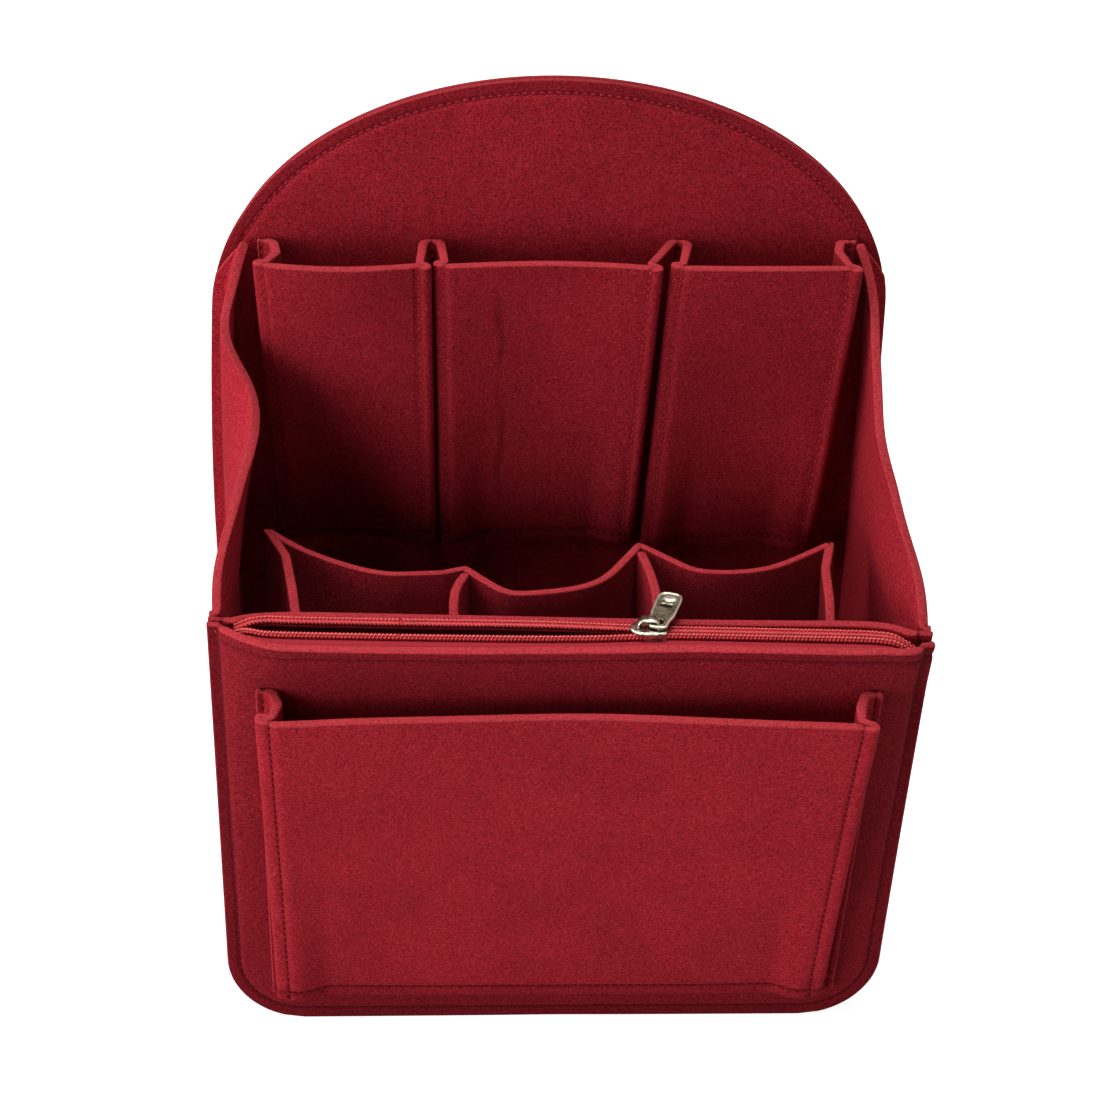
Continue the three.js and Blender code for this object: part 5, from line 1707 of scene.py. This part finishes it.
def nickel_material(name, dark, light, smooth, rough):
    """Nickel plate over tumbled zinc: warm grey, with faint handling marks. Raised edges
    get a painted highlight, and a recess is painted dark as painted shade."""
    material, tree = new_material(name)
    place = add_node(tree, "TexCoord").outputs["Object"]
    scale = (1 / (MARK_LENGTH * MM), 1 / (MARK_WIDTH * MM), 1 / (MARK_WIDTH * MM))
    long_marks = add_node(tree, "Mapping", {"Vector": place, "Rotation": MARK_TURNS,
                                            "Scale": scale})
    marks = add_node(tree, "TexNoise", {"Vector": long_marks.outputs[0], "Scale": 1.0,
                                        "Detail": 3.0, "Roughness": 0.6})
    film = add_node(tree, "TexNoise", {"Vector": place, "Scale": 1 / (FILM_SIZE * MM),
                                       "Detail": 2.0})
    tone = add_node(tree, "ValToRGB", {"Fac": film.outputs["Fac"]}, ((0.4, dark), (0.6, light)))
    # Painted highlight on the raised rim and boss.
    painted_highlight = add_node(tree, "Attribute", attribute_name="painted_highlight")
    highlighted = add_node(tree, "Mix", {0: painted_highlight.outputs["Fac"], 6: tone.outputs[0],
                                    7: srgb(PAINTED_HIGHLIGHT_COLOUR)}, data_type="RGBA")
    # Painted shade in the slot: the colour goes to near black where the slot is.
    painted_slot_shade = add_node(tree, "Attribute", attribute_name="painted_slot_shade")
    slot_shaded = add_node(tree, "Mix", {0: painted_slot_shade.outputs["Fac"], 6: highlighted.outputs[2],
                                    7: srgb(PAINTED_SLOT_SHADE_COLOUR)}, data_type="RGBA")
    worn = add_node(tree, "MapRange", {
        "Value": marks.outputs["Fac"], "From Min": NOISE_LOW, "From Max": NOISE_HIGH,
        "To Min": smooth, "To Max": rough})
    bump = add_node(tree, "Bump", {"Height": marks.outputs["Fac"], "Strength": 0.25,
                                   "Distance": MARK_DEPTH * MM})
    shader = add_node(tree, "BsdfPrincipled", {
        "Base Color": slot_shaded.outputs[2], "Metallic": 1.0, "Roughness": worn.outputs[0],
        "Normal": bump.outputs[0],
    })
    add_node(tree, "OutputMaterial", {"Surface": shader.outputs[0]})
    return material


NICKEL_FINISH = nickel_material("bright_nickel_plate", "#8A8672", "#DCD8CA", 0.2, 0.36)
# The tab's colours are darker than the body's: a painted dark reflection of the felt round it.
TAB_FINISH = nickel_material("brushed_nickel_plate_painted_dark", "#65614D", "#8E8973", 0.28, 0.42)

# %% Slider body
PLATE, BAIL_SEAT = 1.4, 0.3
SLIDER_WIDTH, SLIDER_WALL = 9.8, 8.2
MOUTH_HALF, TAIL_HALF, WALL_SHARE = 3.2, 2.6, 0.8
WALL_END, WALL_POINTS, WALL_LEVELS, WALL_RIM = 0.35, 24, 6, 0.2
FLOOR_GAP, SUNK_END, SUNK_WALL = 0.3, 0.2, 0.3
PLATE_LENGTHS = [-0.5, -0.488, -0.4, -0.22, 0.05, 0.34, 0.47, 0.5, 0.5]
PLATE_WIDTHS = [0.0, 0.13, 0.31, 0.465, 0.5, 0.46, 0.38, 0.22, 0.0]
PLATE_POINTS = 72
PLATE_EDGE, PLATE_CROWN, CROWN_SHARES = 0.6, 0.12, (0.75, 0.5, 0.3)
LOW_PLATE, LOW_PLATE_EDGE, LOW_PLATE_SCALE = 0.9, 0.4, 0.96
POST_POINTS, POST_LENGTH, POST_WIDTH, POST_PLACE, POST_EDGE = 24, 0.9, 0.65, 1.9, 0.1
CEILING = COIL_HEIGHT / 2 + SEAM_GAP
SLIDER_TOP = CEILING + PLATE
SLIDER_FLOOR = -COIL_HEIGHT / 2 - FLOOR_GAP
EDGE_TURNS = np.radians([0, 22.5, 45, 67.5, 90])


def closed_outline(lengths, widths, count):
    """A smooth outline, even about the X axis: a curve through the places above it, and its
    mirror image. No point is on the axis, so a ring can be closed with ladder quads."""
    place = (np.arange(count // 2) + 0.5) / (count // 2) * (len(lengths) - 1)
    upper = np.stack([spline(lengths, place), spline(widths, place)], axis=-1)
    return np.concatenate([upper, (upper * [1, -1])[::-1]])


def plate(outline, low, high, edge, crown=0.0):
    """Outline extruded from low to high, with round edges and a slightly crowned top."""
    half_size = np.abs(outline).max(axis=0)
    rings = []
    for height, way, turns in ((low + edge, -1, EDGE_TURNS[::-1]), (high - edge, 1, EDGE_TURNS)):
        for turn_angle in turns:
            inset = edge * (1 - math.cos(turn_angle))
            spot = outline * (1 - inset / half_size)
            z = np.full(len(spot), height + way * edge * math.sin(turn_angle))
            rings.append(np.column_stack([spot, z]))
    for share in CROWN_SHARES if crown else ():
        spot = outline * (1 - edge / half_size) * share
        rings.append(np.column_stack([spot, np.full(len(spot), high + crown * (1 - share))]))
    return np.concatenate(rings), ring_faces(len(rings), len(outline))


def slider_wall(side):
    """Side wall between the plates, from the widest place back to the tail."""
    x = SLIDER_LENGTH / 2 - np.linspace(SLIDER_WALL, WALL_END, WALL_POINTS)
    outer = np.interp(x / SLIDER_LENGTH, PLATE_LENGTHS[:7], PLATE_WIDTHS[:7])
    outer *= SLIDER_WIDTH * WALL_SHARE
    inner = np.interp(x, [x[0], x[-1]], [MOUTH_HALF, TAIL_HALF])
    z = np.linspace(SLIDER_FLOOR - SUNK_END, CEILING + SUNK_WALL, WALL_LEVELS)
    middle = stack(x[None, :], side * ((outer + inner) / 2)[None, :], z[:, None])
    points, quads, _ = sheet_body(middle, float((outer - inner).mean()), WALL_RIM)
    return points, quads


SLIDER_PLACE = settle(stack(SLIDER_X, chain_centre(np.array(SLIDER_X)), CHAIN_Z))
CHAIN_LEAN = (LEAN_RIGHT - LEAN_LEFT) / BODY_WIDTH * (CHAIN_Z / FRONT_HEIGHT) ** LEAN_EXPONENT
SLIDER_TURN = -math.atan(CHAIN_LEAN)


def turned_about_z(points, angle):
    """Points turned about the Z axis."""
    cosine, sine = math.cos(angle), math.sin(angle)
    return stack(points[..., 0] * cosine - points[..., 1] * sine,
                 points[..., 0] * sine + points[..., 1] * cosine, points[..., 2])


def on_slider(points):
    """From the slider's own frame to the insert's: a small turn and its place on the chain."""
    return turned_about_z(points, SLIDER_TURN) + SLIDER_PLACE


def metal_piece(node, body, points, quads, finish=NICKEL_FINISH, attributes=None):
    """A piece of the slider, made in the slider's own frame and named after its node."""
    piece = new_mesh(node + "_plated", on_slider(points), quads, finish, attributes)
    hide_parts(node)
    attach(piece, body)
    print(piece.name, len(quads) * 2, "triangles")


plate_outline = closed_outline(PLATE_LENGTHS, PLATE_WIDTHS, PLATE_POINTS)
plate_outline = plate_outline * [SLIDER_LENGTH, SLIDER_WIDTH]
post_turn = 2 * np.pi * (np.arange(POST_POINTS) + 0.5) / POST_POINTS
post_outline = np.column_stack([POST_LENGTH * np.cos(post_turn), POST_WIDTH * np.sin(post_turn)])
post_points, post_quads = plate(post_outline, SLIDER_FLOOR - SUNK_END, CEILING + SUNK_END,
                                POST_EDGE)
slider_points, slider_quads = join([
    plate(plate_outline, CEILING, SLIDER_TOP, PLATE_EDGE, PLATE_CROWN),
    plate(plate_outline * [LOW_PLATE_SCALE, WALL_SHARE], SLIDER_FLOOR - LOW_PLATE,
          SLIDER_FLOOR, LOW_PLATE_EDGE),
    slider_wall(-1), slider_wall(1),
    (post_points + [POST_PLACE - SLIDER_LENGTH / 2, 0, 0], post_quads),
])
metal_piece("slider_body", "slider", slider_points, slider_quads)

# %% Bail
BAIL_HALF_SPAN, BAIL_FOOT, BAIL_RISE, BAIL_BEND = 3.65, 2.4, 5.9, 2.2
BAIL_HALF_WIDTH, BAIL_HALF_BAR, BAIL_SIDES = 2.2, 0.62, 20
BAIL_TURN_POINTS, BAIL_LEG_POINTS = 9, 6


def bail_line():
    """Up one leg, round a bend, along the bar, round a bend and down the other leg."""
    turn_angle = np.linspace(0, np.pi / 2, BAIL_TURN_POINTS)
    leg = np.linspace(BAIL_FOOT, BAIL_RISE - BAIL_BEND, BAIL_LEG_POINTS)[:-1]
    bend_x = BAIL_HALF_SPAN - BAIL_BEND * (1 - np.cos(turn_angle))
    bend_z = BAIL_RISE - BAIL_BEND * (1 - np.sin(turn_angle))
    half_x = np.concatenate([np.full(len(leg), BAIL_HALF_SPAN), bend_x])
    half_z = np.concatenate([leg, bend_z])
    return stack(np.concatenate([-half_x, half_x[::-1]]), 0,
                 np.concatenate([half_z, half_z[::-1]]))


bail_centre = bail_line()
bail_sideways = stack(0 * bail_centre[:, 0], 1.0, 0)
metal_piece("slider_bail", "slider",
            *tubes(bail_centre[None], bail_sideways[None], BAIL_HALF_BAR, BAIL_SIDES,
                   flatness=BAIL_HALF_WIDTH / BAIL_HALF_BAR))

# %% Pull tab
TAB_LENGTH, TAB_WIDTH, TAB, TAB_EYE, TAB_EYE_MARGIN = 22.0, 9.4, 1.2, 1.75, 1.5
TAB_NEAR = -TAB_EYE - TAB_EYE_MARGIN
TAB_LENGTHS = [0.0, 0.008, 0.045, 0.14, 0.25, 0.36, 0.6, 0.82, 0.93, 0.985, 1.0]
TAB_WIDTHS = [0.0, 0.2, 0.345, 0.385, 0.41, 0.475, 0.5, 0.5, 0.43, 0.26, 0.0]
TAB_RIM, TAB_RIM_RISE, TAB_EDGE = 0.85, 0.22, 0.32
RIM_INSETS, RIM_LIFTS = [0.55, 0.75, TAB_RIM], [0.0, 0.0, -0.03]
# How much painted highlight the rim and the boss get, and how fast the slot's painted shade comes
# in.
RIM_PAINTED_HIGHLIGHT, BOSS_PAINTED_HIGHLIGHT, SLOT_PAINTED_SHADE = 0.55, 0.6, 2.5
EYE_SPREAD, EYE_CHAMFER, COLLAR = 0.35, 0.15, (0.5, 0.9)
TAB_INSIDE = [TAB_LENGTH / 3, 0]
TAB_POINTS, TAB_FIELD_RINGS, FIELD_GAP, FIELD_CROWDING = 120, 40, 0.12, 0.9
SLOT_PLACE, SLOT_LENGTH, SLOT_WIDTH, SLOT_DEPTH = 10.6, 1.9, 4.6, 0.3
SLOT_CORNER, SLOT_SLOPE = 0.3, 0.35
BOSS_PLACE, BOSS_LENGTH, BOSS_WIDTH, BOSS_RISE, BOSS_FLAT = 15.2, 2.4, 3.1, 0.4, 0.55
TAB_TURN, TAB_TILT = math.radians(74), math.radians(6)
BAIL_HEIGHT, BAIL_THICKNESS = 4.2, 1.4


def rounded_box(x, y, half_x, half_y, slope):
    """1 inside a rounded box and 0 outside, with a soft step between."""
    outside = np.hypot(np.maximum(np.abs(x) - half_x, 0), np.maximum(np.abs(y) - half_y, 0))
    return 1 - ease(outside, 0, slope)


def tab_body():
    """Rings from the outline in to the eye, over the top and back under, with the share of
    painted highlight and of painted shade at each point. The oval near the end is left plain."""
    outline = closed_outline(TAB_LENGTHS, TAB_WIDTHS, TAB_POINTS)
    outline = np.column_stack([TAB_NEAR + outline[:, 0] * TAB_LENGTH,
                               outline[:, 1] * TAB_WIDTH])
    step = np.roll(outline, -1, axis=0) - np.roll(outline, 1, axis=0)
    inward = unit(np.column_stack([step[:, 1], -step[:, 0]]))
    inward *= np.where((inward * (outline - TAB_INSIDE)).sum(-1) > 0, -1, 1)[:, None]
    angle = np.arctan2(outline[:, 1], outline[:, 0] * EYE_SPREAD)
    eye = TAB_EYE * np.column_stack([np.cos(angle), np.sin(angle)])
    insets = np.concatenate([TAB_EDGE * (1 - np.cos(EDGE_TURNS)), RIM_INSETS])
    lifts = np.concatenate([TAB_EDGE * (np.sin(EDGE_TURNS) - 1), RIM_LIFTS])
    none = np.zeros(len(outline))
    rings = [(outline + inward * inset, none + TAB / 2 + lift, none + RIM_PAINTED_HIGHLIGHT, none)
             for inset, lift in zip(insets, lifts)]
    inner_rim = outline + inward * (TAB_RIM + FIELD_GAP)
    for share in np.linspace(0, 1, TAB_FIELD_RINGS) ** FIELD_CROWDING:
        ring = mix(inner_rim, eye * (1 + FIELD_GAP / TAB_EYE), share)
        x, y = ring.T
        slot_at = rounded_box(x - SLOT_PLACE, y, SLOT_LENGTH / 2 - SLOT_CORNER,
                              SLOT_WIDTH / 2 - SLOT_CORNER, SLOT_SLOPE)
        collar = TAB_RIM_RISE * (1 - ease(np.hypot(x, y) - TAB_EYE, *COLLAR))
        boss_off = np.hypot((x - BOSS_PLACE) / BOSS_LENGTH, y / BOSS_WIDTH)
        boss = 1 - ease(boss_off, BOSS_FLAT, 1)
        height = TAB / 2 - TAB_RIM_RISE + collar - SLOT_DEPTH * slot_at + BOSS_RISE * boss
        rings.append((ring, height, BOSS_PAINTED_HIGHLIGHT * boss, np.clip(SLOT_PAINTED_SHADE * slot_at, 0, 1)))
    rings.append((eye, none + TAB / 2 - EYE_CHAMFER, none, none))
    rings, heights, painted_highlight, painted_slot_shade = zip(*rings)
    top = [np.column_stack([ring, z]) for ring, z in zip(rings, heights)]
    under = [np.column_stack([ring, -z]) for ring, z in zip(rings, heights)][::-1]
    rows = np.stack(top + under)
    count, around = rows.shape[:2]
    at = np.arange(count * around).reshape(count, around)
    quads = np.stack([at, np.roll(at, -1, axis=0), np.roll(np.roll(at, -1, axis=0), -1, axis=1),
                      np.roll(at, -1, axis=1)], axis=-1).reshape(-1, 4)
    shares = {key: np.concatenate(values + values[::-1])
              for key, values in (("painted_highlight", painted_highlight), ("painted_slot_shade", painted_slot_shade))}
    return rows.reshape(-1, 3), quads, shares


tab_points, tab_quads, tab_shares = tab_body()
tilted = stack(tab_points[:, 0] * math.cos(TAB_TILT) - tab_points[:, 2] * math.sin(TAB_TILT),
               tab_points[:, 1],
               tab_points[:, 0] * math.sin(TAB_TILT) + tab_points[:, 2] * math.cos(TAB_TILT))
tab_height = SLIDER_TOP + BAIL_SEAT + (BAIL_HEIGHT - BAIL_THICKNESS) / 2
tab_points = turned_about_z(tilted, TAB_TURN) + [BAIL_HALF_SPAN, 0, tab_height]
metal_piece("pull_tab", "pull_tab", tab_points, tab_quads, TAB_FINISH, tab_shares)
